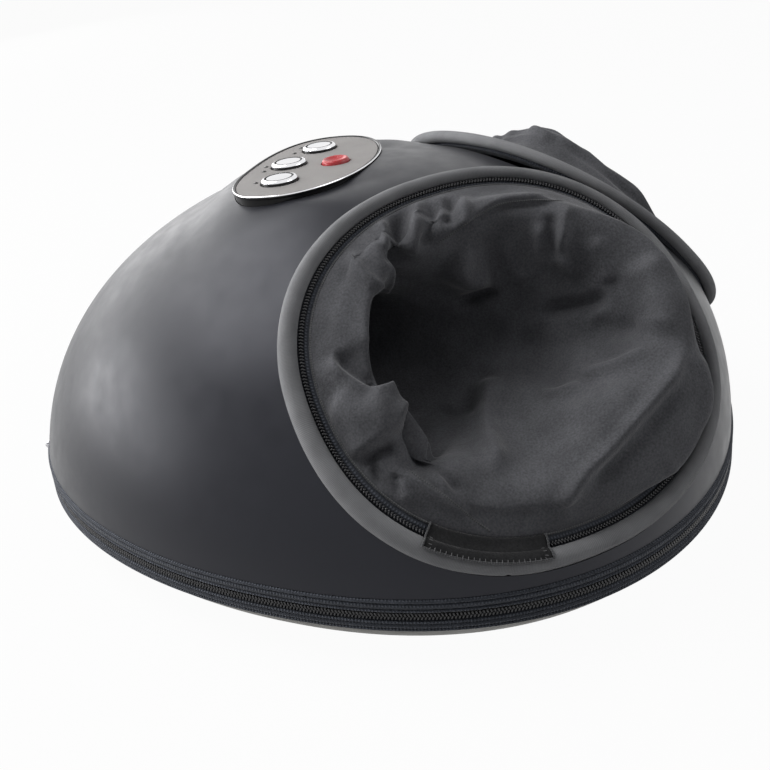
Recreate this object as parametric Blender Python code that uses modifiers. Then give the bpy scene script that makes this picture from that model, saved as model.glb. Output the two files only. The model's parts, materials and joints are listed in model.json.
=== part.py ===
"""Shiatsu foot massager: a domed shell over a tray, two cloth-lined foot openings,
a control panel with four buttons, and a worm and gear drive under the feet.

Units are metres, +Z is up, the user stands at -Y and the part is mirrored about X = 0.
"""

import math

import bmesh
import bpy
from mathutils import Matrix, Vector

# Dome and its plan outline
DOME_HALF_WIDTH = 0.200
DOME_HALF_DEPTH = 0.222
DOME_HEIGHT = 0.1985
DOME_EQUATOR = 0.0143
DOME_EDGE = 0.0393
DOME_WALL = 0.0032
DOME_FORWARD_LEAN_SHARE = -0.097
DOME_BACK_TAPER_SHARE = -0.124
DOME_PLAN_POWER = 2.15
DOME_RISE_POWER = 2.12

# Base tray, its feet and the cloth band round it
TRAY_BOTTOM = 0.0059
TRAY_FLOOR = 0.0030
TRAY_WALL = 0.0030
TRAY_STEP = 0.0200
TRAY_INSET = 0.0126
TRAY_LIP_INSET = 0.0010
TAPE_THICKNESS = 0.0017
UPPER_TAPE_BOTTOM = 0.0317
COIL_BOTTOM = 0.0272
COIL_BULGE = 0.0013
PIPING_BOTTOM = 0.0206
PIPING_BULGE = 0.0010
FOOT_RADIUS = 0.0130
FOOT_CHAMFER = 0.0015
FOOT_X_SHARE = 0.575
FOOT_X = DOME_HALF_WIDTH * FOOT_X_SHARE
FOOT_FRONT_Y_SHARE = -0.65586
FOOT_FRONT_Y = DOME_HALF_DEPTH * FOOT_FRONT_Y_SHARE
FOOT_BACK_Y_SHARE = 0.61892
FOOT_BACK_Y = DOME_HALF_DEPTH * FOOT_BACK_Y_SHARE
FIT = 0.0003
OVERRUN = 0.0100

# Padded rings round the foot openings, mirrored for the second one
RING_CENTRE_X_SHARE = 0.52065
RING_CENTRE_X = DOME_HALF_WIDTH * RING_CENTRE_X_SHARE
RING_CENTRE_Y_SHARE = -0.46054
RING_CENTRE_Y = DOME_HALF_DEPTH * RING_CENTRE_Y_SHARE
RING_CENTRE_Z_SHARE = 0.61975
RING_CENTRE_Z = DOME_HEIGHT * RING_CENTRE_Z_SHARE
RING_AZIMUTH = math.radians(54.0)
RING_ELEVATION = math.radians(44.0)
RING_ROLL = math.radians(5.3)
RING_HALF_LENGTH_SHARE = 0.48446
RING_HALF_LENGTH = DOME_HALF_DEPTH * RING_HALF_LENGTH_SHARE
RING_HALF_HEIGHT_SHARE = 0.52322
RING_HALF_HEIGHT = DOME_HEIGHT * RING_HALF_HEIGHT_SHARE
RING_POWER = 2.18
RING_TUBE = 0.0046
SEAT_ABOVE = 0.0600
SEAT_BELOW = 0.0250

# Coil zipper inside each ring and the flap over its end
ZIP_WIDTH = 0.0060
ZIP_THICKNESS = 0.0022
ZIP_DROP = 0.0020
ZIP_BEAD = 0.0012
FLAP_THICKNESS = 0.0015
FLAP_REACH = math.radians(40.0)
ZIP_FACE_GAP = 0.0003

# Foot liners
LINER_CLOTH = 0.0024
LINER_LIP = 0.0260
LINER_ROOT_GAP = 0.0006
LINER_ROOT_RISE = 0.0006
LINER_HEAD_GAP = 0.0015
HEAD_CLEAR = 0.0120
HEAD_CLEAR_SLOPE_SHARE = 1.5
LINER_THROAT_X_SHARE = 0.48
LINER_THROAT_X = DOME_HALF_WIDTH * LINER_THROAT_X_SHARE
LINER_THROAT_Y_SHARE = 0.03333
LINER_THROAT_Y = DOME_HALF_DEPTH * LINER_THROAT_Y_SHARE
LINER_THROAT_Z_SHARE = 0.62469
LINER_THROAT_Z = DOME_HEIGHT * LINER_THROAT_Z_SHARE
LINER_THROAT_HALF_WIDTH_SHARE = 0.23
LINER_THROAT_HALF_WIDTH = DOME_HALF_WIDTH * LINER_THROAT_HALF_WIDTH_SHARE
LINER_THROAT_HALF_HEIGHT_SHARE = 0.18136
LINER_THROAT_HALF_HEIGHT = DOME_HEIGHT * LINER_THROAT_HALF_HEIGHT_SHARE
LINER_TOE_X_SHARE = 0.42
LINER_TOE_X = DOME_HALF_WIDTH * LINER_TOE_X_SHARE
LINER_TOE_Y_SHARE = 0.45225
LINER_TOE_Y = DOME_HALF_DEPTH * LINER_TOE_Y_SHARE
LINER_TOE_Z_SHARE = 0.56927
LINER_TOE_Z = DOME_HEIGHT * LINER_TOE_Z_SHARE
LINER_TOE_HALF_WIDTH_SHARE = 0.19
LINER_TOE_HALF_WIDTH = DOME_HALF_WIDTH * LINER_TOE_HALF_WIDTH_SHARE
LINER_TOE_HALF_HEIGHT_SHARE = 0.12594
LINER_TOE_HALF_HEIGHT = DOME_HEIGHT * LINER_TOE_HALF_HEIGHT_SHARE
LINER_TOE_DEPTH = 0.0140
LINER_CAP_SHARE = 0.7
# The liner's loops at 16 even angles: steps along, up and out of the ring's plane. The ring's
# half length and half height and the liner's lip hold this many steps.
LOOP_STEPS = (107.55, 103.86, 26.0)
SKIRT_STEP_SHARES = ((99, 0, 12), (93, 36, 12), (74, 63, 9), (43, 81, 7), (2, 85, 7), (-37, 78, 6),
                     (-66, 61, 5), (-85, 35, 5), (-91, 1, 5), (-85, -33, 5), (-64, -58, 6),
                     (-35, -74, 6), (5, -83, 10), (54, -86, 12), (88, -61, 13), (96, -35, 13))
CREST_STEP_SHARES = ((96, 1, 26), (90, 32, 25), (68, 55, 21), (40, 74, 15), (3, 79, 12), (-36, 75, 9),
                     (-62, 58, 8), (-79, 32, 8), (-85, 3, 8), (-79, -28, 9), (-61, -55, 9),
                     (-35, -71, 9), (-1, -76, 14), (32, -61, 24), (64, -47, 26), (86, -26, 26))
SHOULDER_STEP_SHARES = ((82, -1, 21), (78, 27, 20), (59, 47, 17), (36, 67, 13), (4, 72, 10),
                        (-34, 69, 8), (-52, 52, 7), (-64, 29, 7), (-69, 6, 7), (-61, -11, 9),
                        (-54, -45, 9), (-34, -63, 8), (-2, -67, 14), (27, -51, 21), (54, -39, 21),
                        (74, -21, 21))
FALL_STEP_SHARES = ((68, -3, 2), (64, 23, 0), (48, 39, -4), (29, 58, -6), (2, 63, -5), (-34, 63, -6),
                    (-54, 54, -6), (-66, 33, -6), (-71, 10, -7), (-63, -7, -4), (-50, -35, 2),
                    (-30, -47, 0), (-2, -49, 0), (22, -37, 0), (42, -27, 0), (60, -15, 2))
BASIN_STEP_SHARES = ((42, 6, -25), (40, 23, -25), (27, 39, -26), (12, 55, -24), (-12, 61, -20),
                     (-42, 64, -16), (-61, 60, -14), (-75, 41, -13), (-81, 21, -14), (-74, 7, -18),
                     (-62, -11, -22), (-42, -21, -25), (-18, -21, -28), (4, -13, -30), (20, -7, -30),
                     (34, -1, -27))
DEEP_STEP_SHARES = ((2, 31, -50), (2, 41, -48), (-6, 51, -45), (-18, 61, -38), (-36, 67, -30),
                    (-54, 69, -24), (-72, 66, -21), (-86, 51, -19), (-94, 29, -19), (-89, 21, -27),
                    (-78, 9, -42), (-64, 5, -52), (-48, 7, -58), (-32, 13, -60), (-18, 19, -60),
                    (-8, 25, -56))
LINER_LOOPS = (SKIRT_STEP_SHARES, CREST_STEP_SHARES, SHOULDER_STEP_SHARES, FALL_STEP_SHARES,
               BASIN_STEP_SHARES, DEEP_STEP_SHARES)
# How much higher each knot of the right liner's crest stands, and how far each loop follows it
RIGHT_LIFT_STEP_SHARES = (-20, -7, 2, 14, 9, 2, 0, 0, 0, 0, 0, 0, 0, -8, -16, -19)
LIFT_SHARES = (0.4, 1.0, 0.8, 0.0, 0.0, 0.0)

# Control panel
PANEL_Y_SHARE = 0.17207
PANEL_Y = DOME_HALF_DEPTH * PANEL_Y_SHARE
PANEL_DROP = 0.0020
PANEL_Z = DOME_HEIGHT - PANEL_DROP
PANEL_TILT = math.radians(-3.0)
PANEL_HALF_WIDTH = 0.0670
PANEL_BACK = 0.0280
PANEL_FRONT = 0.0510
PANEL_WAIST = -0.0080
PANEL_FLANGE = 0.0026
PANEL_FLANGE_DROP = 0.0016
PANEL_CROWN = 0.0008
PANEL_SKIRT = 0.0170
PANEL_SKIRT_INSET = 0.0008
PANEL_WALL = 0.0022
PANEL_LEDGE = 0.0030
PANEL_LEDGE_THICKNESS = 0.0022
PANEL_SIDE_SHOWN = 0.0034
PANEL_LAND_RISE = 0.0060
PANEL_LAND_REACH_SHARE = 0.9
PANEL_BACK_POWER = 2.5
PANEL_FRONT_POWER = 2.0
PLATE_THICKNESS = 0.0018
BOARD_THICKNESS = 0.0016
BOARD_DROP = 0.0100
CHROME_RADIUS = 0.0108
POWER_RADIUS = 0.0084
BUTTON_CROWN = 0.0028
# Button face: radius and height as shares of the radius and the crown
BUTTON_FACE_SHARES = ((0.0, 1.0), (0.55, 0.85), (0.9, 0.4))
BUTTON_SKIRT = 0.0036
BUTTON_STEM = 0.0045
BUTTON_TRAVEL = 0.0010
SWITCH_SIZE = 0.0060
CHROME_SPACING = 0.0360
CHROME_SIDE_Y = -0.0040
CHROME_MIDDLE_Y = 0.0035
POWER_Y = -0.0265
LENS_RADIUS = 0.0013
LENS_RISE = 0.0003
LENS_WEB = 0.0012

# Kneading drive: gear cases, gears, worm shaft
HEAD_SPACING_SHARE = 0.32432
HEAD_SPACING = DOME_HALF_DEPTH * HEAD_SPACING_SHARE
HEAD_X_SHARE = 0.5
HEAD_X = DOME_HALF_WIDTH * HEAD_X_SHARE
HEAD_MIDDLE_Y_SHARE = -0.04775
HEAD_MIDDLE_Y = DOME_HALF_DEPTH * HEAD_MIDDLE_Y_SHARE
CASE_BOTTOM = 0.0160
CASE_FLOOR = 0.0025
CASE_WALL = 0.0025
CASE_TOP = 0.0590
CASE_CORNER = 0.0200
CASE_HALF_X_SHARE = 0.22
CASE_HALF_X = DOME_HALF_WIDTH * CASE_HALF_X_SHARE
CASE_HALF_Y_SHARE = 0.52252
CASE_HALF_Y = DOME_HALF_DEPTH * CASE_HALF_Y_SHARE
BOSS_RADIUS = 0.0050
GEAR_TEETH = 16
GEAR_BACKLASH = 0.0006
GEAR_BOTTOM = 0.0435
GEAR_THICKNESS = 0.0070
GEAR_ADDENDUM_SHARE = 0.9
GEAR_DEDENDUM_SHARE = 1.25
GEAR_HUB = 0.0075
WORM_WHEEL_TEETH = 24
WORM_WHEEL_MODULE = 0.0025
WORM_WHEEL_THICKNESS = 0.0070
WORM_WHEEL_TOOTH = 0.0032
WORM_RADIUS = 0.0090
WORM_THREAD = 0.0030
WORM_TURNS = 3
WORM_STEPS = 8
WORM_ROOT_GAP = 0.0006
WORM_DEDENDUM_SHARE = 1.2
THREAD_FOOT_SHARE = 0.8
THREAD_TIP_SHARE = 0.3
SHAFT_Z = 0.0310
SHAFT_RADIUS = 0.0025
BUSH_RADIUS = 0.0060
BUSH_FLANGE = 0.0020
POST_RADIUS = 0.0030
HEAD_RADIUS_SHARE = 0.43056
HEAD_RADIUS = HEAD_SPACING * HEAD_RADIUS_SHARE
HEAD_DISC = 0.0060
HEAD_GAP = 0.0015
NODE_RADIUS = 0.0095
NODE_ORBIT_SHARE = 0.27083
NODE_ORBIT = HEAD_SPACING * NODE_ORBIT_SHARE
NODE_HEIGHT = 0.0220
HEAD_BOTTOM = GEAR_BOTTOM + GEAR_THICKNESS + HEAD_GAP
HEAD_TOP = HEAD_BOTTOM + HEAD_DISC + NODE_HEIGHT
POST_TOP = HEAD_BOTTOM + HEAD_DISC - CASE_FLOOR / 5.0
BED_THICKNESS = 0.0025
BED_BORDER = 0.0040
BED_HOLE_SHARE = 0.42361
BED_HOLE = HEAD_SPACING * BED_HOLE_SHARE

# Motor, air supply and electronics
MOTOR_RADIUS = 0.0185
MOTOR_HALF_LENGTH_SHARE = 0.165
MOTOR_HALF_LENGTH = DOME_HALF_WIDTH * MOTOR_HALF_LENGTH_SHARE
MOTOR_CAP = 0.0040
CRADLE_WIDTH = 0.0460
CRADLE_RIB = 0.0060
PUMP_Y_SHARE = 0.70901
PUMP_Y = DOME_HALF_DEPTH * PUMP_Y_SHARE
PUMP_RADIUS = 0.0210
PUMP_LENGTH = 0.0560
# Pump outline: radius and half length as shares
PUMP_SHARES = ((0.0, 1.0), (0.55, 1.0), (0.6, 0.55), (1.0, 0.5), (1.0, -0.2), (0.7, -0.25), (0.7, -1.0),
               (0.0, -1.0))
VALVE_X_SHARE = 0.28
VALVE_X = DOME_HALF_WIDTH * VALVE_X_SHARE
VALVE_SIZE = 0.0260
BOARD_X_SHARE = -0.31
BOARD_X = DOME_HALF_WIDTH * BOARD_X_SHARE
BOARD_LENGTH = 0.0600
BOARD_DEPTH = 0.0400
BOARD_STANDOFF = 0.0060
AIR_BAG_THICKNESS = 0.0040
AIR_BAG_GAP = 0.0030
AIR_BAG_END_SHARE = 0.8
AIR_BAG_EDGE_SHARE = 0.6
AIR_BAG_SPREAD = math.radians(46.0)
AIR_BAG_FRONT_SHARE = 0.07838
AIR_BAG_FRONT = DOME_HALF_DEPTH * AIR_BAG_FRONT_SHARE
AIR_BAG_BACK_SHARE = 0.37117
AIR_BAG_BACK = DOME_HALF_DEPTH * AIR_BAG_BACK_SHARE
HOSE_RADIUS = 0.0022
HOSE_STEPS = 10
HOSE_RUN = 0.0500
HOSE_LIFT = 0.0080
HOSE_TURN = math.radians(33.0)
INLET_RADIUS = 0.0065
INLET_LENGTH = 0.0160
INLET_Z = 0.0135
INLET_HOLE = 0.0028
PULL_LENGTH = 0.0130
PULL_WIDTH = 0.0060
PULL_THICKNESS = 0.0014
PULL_PIN = 0.0007
SLIDER_LENGTH = 0.0080
SLIDER_WIDTH = 0.0056
SLIDER_THICKNESS = 0.0016
SLIDER_EAR = 0.0010
SLIDER_ANGLE = math.radians(110.0)
SLIDER_STEP = math.radians(1.0)
PULL_KNUCKLE = 0.0017
KNUCKLE_LENGTH = 0.0030
PULL_NECK = 0.0035
PULL_HOLE = 0.0018

# Facet counts
AROUND = 36
DOME_ROWS = 10
RING_STEPS = 32
LINER_AROUND = 28
PANEL_STEPS = 24
FLAP_FIRST = 20
FLAP_LAST = 23

SIDES = {"left": -1.0, "right": 1.0}
WORLD_UP = Vector((0.0, 0.0, 1.0))


def clear_scene():
    for item in list(bpy.data.objects):
        bpy.data.objects.remove(item, do_unlink=True)


def make_collection(name):
    collection = bpy.data.collections.new(name)
    bpy.context.scene.collection.children.link(collection)
    return collection


def make_material(name, color, roughness, metallic=0.0):
    material = bpy.data.materials.new(name)
    material.use_nodes = True
    shader = material.node_tree.nodes["Principled BSDF"]
    shader.inputs["Base Color"].default_value = (*color, 1.0)
    shader.inputs["Roughness"].default_value = roughness
    shader.inputs["Metallic"].default_value = metallic
    return material


def place(name, mesh, look, collection=None, parent=None, smooth=True):
    """Link a mesh as a named object with its own material."""
    item = bpy.data.objects.new(name, mesh)
    (collection or PARTS).objects.link(item)
    if look:
        mesh.materials.clear()
        mesh.materials.append(make_material(name, *look))
    if smooth:
        mesh.shade_smooth()
        mesh.set_sharp_from_angle(angle=math.radians(40.0))
    if parent:
        item.parent = parent
    return item


def mesh_from(bm, name):
    bmesh.ops.recalc_face_normals(bm, faces=bm.faces)
    mesh = bpy.data.meshes.new(name)
    bm.to_mesh(mesh)
    bm.free()
    return mesh


def loft(name, rows, closed_rows=False, cap_ends=True):
    """Skin closed rows of points; a last row of one point is a tip, and caps fill the end rows."""
    bm = bmesh.new()
    rings = [[bm.verts.new(point) for point in row] for row in rows]
    pairs = list(zip(rings, rings[1:]))
    if closed_rows:
        pairs.append((rings[-1], rings[0]))
    for lower, upper in pairs:
        count = len(lower)
        for i in range(count):
            j = (i + 1) % count
            if len(upper) == 1:
                bm.faces.new((lower[i], lower[j], upper[0]))
            else:
                bm.faces.new((lower[i], lower[j], upper[j], upper[i]))
    if cap_ends and not closed_rows:
        bm.faces.new(rings[0])
        bm.faces.new(rings[-1])
    return mesh_from(bm, name)


def box(name, size, centre, look=None, bevel=0.0, collection=None, parent=None):
    bm = bmesh.new()
    bmesh.ops.create_cube(bm, size=1.0)
    bmesh.ops.scale(bm, vec=size, verts=bm.verts)
    if bevel:
        bmesh.ops.bevel(bm, geom=bm.edges[:], offset=bevel, segments=1, affect="EDGES")
    item = place(name, mesh_from(bm, name), look, collection, parent, smooth=False)
    item.location = centre
    return item


def rod(name, radius, length, centre, axis="Z", look=None, sides=20, top_radius=None,
        collection=None, parent=None):
    """A cylinder or cone frustum centred on a point."""
    bm = bmesh.new()
    bmesh.ops.create_cone(bm, cap_ends=True, segments=sides, radius1=radius,
                          radius2=radius if top_radius is None else top_radius, depth=length)
    item = place(name, mesh_from(bm, name), look, collection, parent)
    turns = {"X": Matrix.Rotation(math.pi / 2, 4, "Y"),
             "Y": Matrix.Rotation(-math.pi / 2, 4, "X"), "Z": Matrix.Identity(4)}
    item.matrix_local = Matrix.Translation(centre) @ turns[axis]
    return item


def turned(name, profile, look=None, steps=20, collection=None, parent=None):
    """Turn a profile of (radius, height) pairs, which runs down its outer side, about Z."""
    mesh = bpy.data.meshes.new(name)
    points = [(radius, 0.0, height) for radius, height in profile]
    closed = profile[0][0] > 0.0 and profile[-1][0] > 0.0
    edges = [(i, i + 1) for i in range(len(points) - 1)]
    if closed:
        edges.append((len(points) - 1, 0))
    mesh.from_pydata(points, edges, [])
    item = place(name, mesh, look, collection, parent, smooth=False)
    screw = item.modifiers.new("Turn", "SCREW")
    screw.steps = steps
    screw.render_steps = steps
    screw.use_merge_vertices = True
    screw.merge_threshold = FIT / 10.0
    screw.use_smooth_shade = True
    return item


def evaluated_mesh(item):
    bpy.context.view_layer.update()
    graph = bpy.context.evaluated_depsgraph_get()
    return bpy.data.meshes.new_from_object(item.evaluated_get(graph))


def solidified(item):
    """Swap an object for a plain mesh of its evaluated form, with welded seams."""
    mesh = evaluated_mesh(item)
    bm = bmesh.new()
    bm.from_mesh(mesh)
    bmesh.ops.remove_doubles(bm, verts=bm.verts, dist=FIT / 10.0)
    bmesh.ops.recalc_face_normals(bm, faces=bm.faces)
    bm.to_mesh(mesh)
    bm.free()
    copy = bpy.data.objects.new(item.name, mesh)
    item.users_collection[0].objects.link(copy)
    copy.matrix_world = item.matrix_world.copy()
    name = item.name
    bpy.data.objects.remove(item, do_unlink=True)
    copy.name = name
    return copy


def as_cutter(item):
    item.hide_render = True
    item.display_type = "WIRE"
    return item


def cut(item, cutter, operation="DIFFERENCE"):
    modifier = item.modifiers.new(cutter.name, "BOOLEAN")
    modifier.operation = operation
    modifier.object = cutter
    modifier.solver = "EXACT"
    return modifier


def joined_mesh(name, base, additions=(), cutters=()):
    """Union additions to a base object, take cutters away, and return the plain mesh in world space."""
    for extra in additions:
        cut(base, extra, "UNION")
    for cutter in cutters:
        cut(base, cutter)
    mesh = evaluated_mesh(base)
    mesh.transform(base.matrix_world)
    mesh.name = name
    for used in (base, *additions, *cutters):
        bpy.data.objects.remove(used, do_unlink=True)
    return mesh


def power_circle(angle, power):
    c = math.cos(angle)
    s = math.sin(angle)
    return (math.copysign(abs(c) ** (2.0 / power), c), math.copysign(abs(s) ** (2.0 / power), s))


def angles(count, start=0.0, end=2.0 * math.pi):
    return [start + (end - start) * i / count for i in range(count)]


def smoothstep(value):
    value = min(1.0, max(0.0, value))
    return value * value * (3.0 - 2.0 * value)


def dome_lean(z):
    return DOME_FORWARD_LEAN_SHARE * (z - DOME_EDGE)


def dome_point(angle, rho, z, offset=0.0):
    """Point of the egg-shaped plan at a share rho of its full size, pushed out by offset."""
    c, s = power_circle(angle, DOME_PLAN_POWER)
    width = DOME_HALF_WIDTH * rho + offset
    depth = DOME_HALF_DEPTH * rho + offset
    taper = 1.0 + DOME_BACK_TAPER_SHARE * rho * s
    return Vector((width * c * taper, depth * s + dome_lean(z), z))


def dome_share(z, height=DOME_HEIGHT):
    rise = min(1.0, max(0.0, (z - DOME_EQUATOR) / (height - DOME_EQUATOR)))
    return (1.0 - rise ** DOME_RISE_POWER) ** (1.0 / DOME_RISE_POWER)


def base_point(angle, z, offset=0.0):
    """Point of the base outline, which is the dome's edge, at another height."""
    point = dome_point(angle, dome_share(DOME_EDGE), DOME_EDGE, offset)
    return Vector((point.x, point.y, z))


def panel_frame():
    return Matrix.Translation((0.0, PANEL_Y, PANEL_Z)) @ Matrix.Rotation(PANEL_TILT, 4, "X")


def panel_outline(offset=0.0, height=0.0, count=40):
    """Rounded shield: flat at the back, fuller and narrower towards the user."""
    points = []
    for angle in angles(count):
        back = math.sin(angle) > 0.0
        c, s = power_circle(angle, PANEL_BACK_POWER if back else PANEL_FRONT_POWER)
        depth = PANEL_BACK - PANEL_WAIST if back else PANEL_FRONT + PANEL_WAIST
        points.append(Vector(((PANEL_HALF_WIDTH + offset) * c, PANEL_WAIST + (depth + offset) * s, height)))
    return points


def ring_frame(side):
    """Frame of a foot opening: X along the ring towards the front, Y up the ring, Z outwards."""
    sin_a, cos_a = math.sin(RING_AZIMUTH), math.cos(RING_AZIMUTH)
    sin_e, cos_e = math.sin(RING_ELEVATION), math.cos(RING_ELEVATION)
    normal = Vector((-sin_a * cos_e, -cos_a * cos_e, sin_e))
    level = Vector((cos_a, -sin_a, 0.0))
    rise = Vector((sin_a * sin_e, cos_a * sin_e, cos_e))
    along = level * math.cos(RING_ROLL) + rise * math.sin(RING_ROLL)
    up = rise * math.cos(RING_ROLL) - level * math.sin(RING_ROLL)
    centre = Vector((-RING_CENTRE_X, RING_CENTRE_Y, RING_CENTRE_Z))
    flip = Vector((-side, 1.0, 1.0))
    axes = [Vector(a * b for a, b in zip(axis, flip)) for axis in (along, up, normal, centre)]
    return axes


def ring_point(side, angle, offset=0.0, height=0.0):
    along, up, normal, centre = ring_frame(side)
    c, s = power_circle(angle, RING_POWER)
    return centre + along * (RING_HALF_LENGTH + offset) * c + up * (RING_HALF_HEIGHT + offset) * s \
        + normal * height


def sweep(name, path, profile, stations, closed=True):
    """Skin a profile of (offset, height) pairs along a path function of the angle."""
    rows = [[path(angle, offset, height) for offset, height in profile] for angle in stations]
    return loft(name, rows, closed_rows=closed, cap_ends=not closed)


def add_curve(name, points, radius, look=None, cyclic=False, collection=None, resolution=2):
    """A round tube along points, as a POLY curve with filled ends."""
    curve = bpy.data.curves.new(name, "CURVE")
    curve.dimensions = "3D"
    curve.bevel_depth = radius
    curve.bevel_resolution = resolution
    curve.use_fill_caps = True
    spline = curve.splines.new("POLY")
    spline.points.add(len(points) - 1)
    for target, point in zip(spline.points, points):
        target.co = (*point, 1.0)
    spline.use_cyclic_u = cyclic
    item = bpy.data.objects.new(name, curve)
    (collection or PARTS).objects.link(item)
    if look:
        curve.materials.append(make_material(name, *look))
    return item


def flat_curve(name, outlines, thickness, look=None, collection=None):
    """A flat plate from closed outlines; an outline inside another one is a hole."""
    curve = bpy.data.curves.new(name, "CURVE")
    curve.dimensions = "2D"
    curve.fill_mode = "BOTH"
    curve.extrude = thickness / 2.0
    for outline in outlines:
        spline = curve.splines.new("POLY")
        spline.points.add(len(outline) - 1)
        for target, point in zip(spline.points, outline):
            target.co = (point[0], point[1], 0.0, 1.0)
        spline.use_cyclic_u = True
    item = bpy.data.objects.new(name, curve)
    (collection or PARTS).objects.link(item)
    if look:
        curve.materials.append(make_material(name, *look))
    return item


def circle(x, y, radius, sides):
    return [(x + radius * math.cos(a), y + radius * math.sin(a)) for a in angles(sides)]


def round_rectangle(x, y, half_x, half_y, corner, steps=3):
    """Corner arcs of a rectangle centred on a point."""
    points = []
    for quarter in range(4):
        cx = x + (half_x - corner) * (1 if quarter in (0, 3) else -1)
        cy = y + (half_y - corner) * (1 if quarter in (0, 1) else -1)
        for step in range(steps + 1):
            angle = (quarter + step / steps) * math.pi / 2.0
            points.append((cx + corner * math.cos(angle), cy + corner * math.sin(angle)))
    return points


def prism(name, points, direction, collection=None):
    """Extrude a closed outline of 3-D points along a vector."""
    return place(name, loft(name, [points, [p + direction for p in points]]), None,
                 collection or CUTTERS, smooth=False)


# Looks: colour, roughness, metallic
SATIN_BLACK = ((0.035, 0.037, 0.045), 0.45)
TRAY_GREY = ((0.10, 0.10, 0.105), 0.6)
TAPE_BLACK = ((0.025, 0.026, 0.03), 0.85)
COIL_BLACK = ((0.012, 0.012, 0.014), 0.4)
RING_GREY = ((0.16, 0.16, 0.17), 0.95)
LINER_GREY = ((0.045, 0.046, 0.05), 0.95)
RUBBER = ((0.02, 0.02, 0.02), 0.9)
CHROME = ((0.85, 0.85, 0.87), 0.08, 1.0)
PLATE_SILVER = ((0.36, 0.34, 0.32), 0.35, 0.6)
RED = ((0.55, 0.02, 0.03), 0.3)
LENS_DARK = ((0.03, 0.03, 0.03), 0.1)
GREEN_BOARD = ((0.03, 0.16, 0.06), 0.5)
ABS_WHITE = ((0.72, 0.72, 0.70), 0.5)
ACETAL = ((0.80, 0.79, 0.74), 0.35)
STEEL = ((0.56, 0.56, 0.58), 0.3, 1.0)
BRONZE = ((0.45, 0.30, 0.13), 0.4, 1.0)
NODE_GREY = ((0.25, 0.25, 0.27), 0.55)
MOTOR_METAL = ((0.50, 0.50, 0.52), 0.4, 0.9)
BAG_TAN = ((0.30, 0.29, 0.27), 0.8)
HOSE_CLEAR = ((0.55, 0.56, 0.58), 0.3)


def panel_land(point):
    """Lift the dome near the panel so that only a short side of the bezel stands proud."""
    local = panel_frame().inverted() @ point
    ahead = local.y < PANEL_WAIST
    depth = PANEL_FRONT + PANEL_WAIST if ahead else PANEL_BACK - PANEL_WAIST
    reach = math.hypot(local.x / PANEL_HALF_WIDTH, (local.y - PANEL_WAIST) / depth)
    lift = min(PANEL_LAND_RISE, max(0.0, -local.z - PANEL_SIDE_SHOWN))
    fade = 1.0 - smoothstep((reach - 1.0) / PANEL_LAND_REACH_SHARE)
    return point + WORLD_UP * lift * fade


def dome_rows():
    """Rows of the outer surface from below the edge to the apex."""
    edge_rise = (DOME_EDGE - OVERRUN - DOME_EQUATOR) / (DOME_HEIGHT - DOME_EQUATOR)
    first = math.asin(max(0.0, edge_rise) ** (DOME_RISE_POWER / 2.0))
    rows = []
    for row in range(DOME_ROWS):
        lift = first + (math.pi / 2.0 - first) * row / DOME_ROWS
        z = DOME_EQUATOR + (DOME_HEIGHT - DOME_EQUATOR) * math.sin(lift) ** (2.0 / DOME_RISE_POWER)
        rho = math.cos(lift) ** (2.0 / DOME_RISE_POWER)
        rows.append([panel_land(dome_point(angle, rho, z)) for angle in angles(AROUND)])
    rows.append([panel_land(dome_point(0.0, 0.0, DOME_HEIGHT))])
    return rows


def make_dome_shell():
    skin = place("dome_skin", loft("dome_skin", dome_rows(), cap_ends=False), None, CUTTERS)
    wall = skin.modifiers.new("Wall", "SOLIDIFY")
    wall.thickness = DOME_WALL
    wall.offset = -1.0
    wall.use_even_offset = True
    shell = solidified(skin)
    below = box("below", (DOME_HALF_WIDTH * 3.0, DOME_HALF_DEPTH * 3.0, DOME_EDGE),
                (0.0, 0.0, DOME_EDGE / 2.0), collection=CUTTERS)
    frame = panel_frame()
    reach = PANEL_SKIRT + OVERRUN
    window = prism("window", [frame @ p for p in panel_outline(FIT - PANEL_SKIRT_INSET, -reach)],
                   frame.to_3x3() @ (WORLD_UP * reach * 2.0))
    rebate = prism("rebate", [frame @ p for p in panel_outline(FIT, -PANEL_FLANGE_DROP - FIT)],
                   frame.to_3x3() @ (WORLD_UP * OVERRUN))
    cutters = [below, window, rebate]
    for label, side in SIDES.items():
        normal = ring_frame(side)[2]
        stations = angles(RING_STEPS)
        above = [ring_point(side, a, RING_TUBE + FIT, -FIT) for a in stations]
        within = [ring_point(side, a, 0.0, -SEAT_BELOW) for a in stations]
        cutters.append(prism("above_" + label, above, normal * SEAT_ABOVE))
        cutters.append(prism("within_" + label, within, normal * SEAT_BELOW))
        groove = add_curve("groove_" + label, [ring_point(side, a) for a in stations],
                           RING_TUBE + FIT, cyclic=True, collection=CUTTERS)
        cutters.append(solidified(groove))
    for cutter in cutters:
        as_cutter(cutter)
    place("dome_shell", joined_mesh("dome_shell", shell, (), cutters), SATIN_BLACK)


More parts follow.
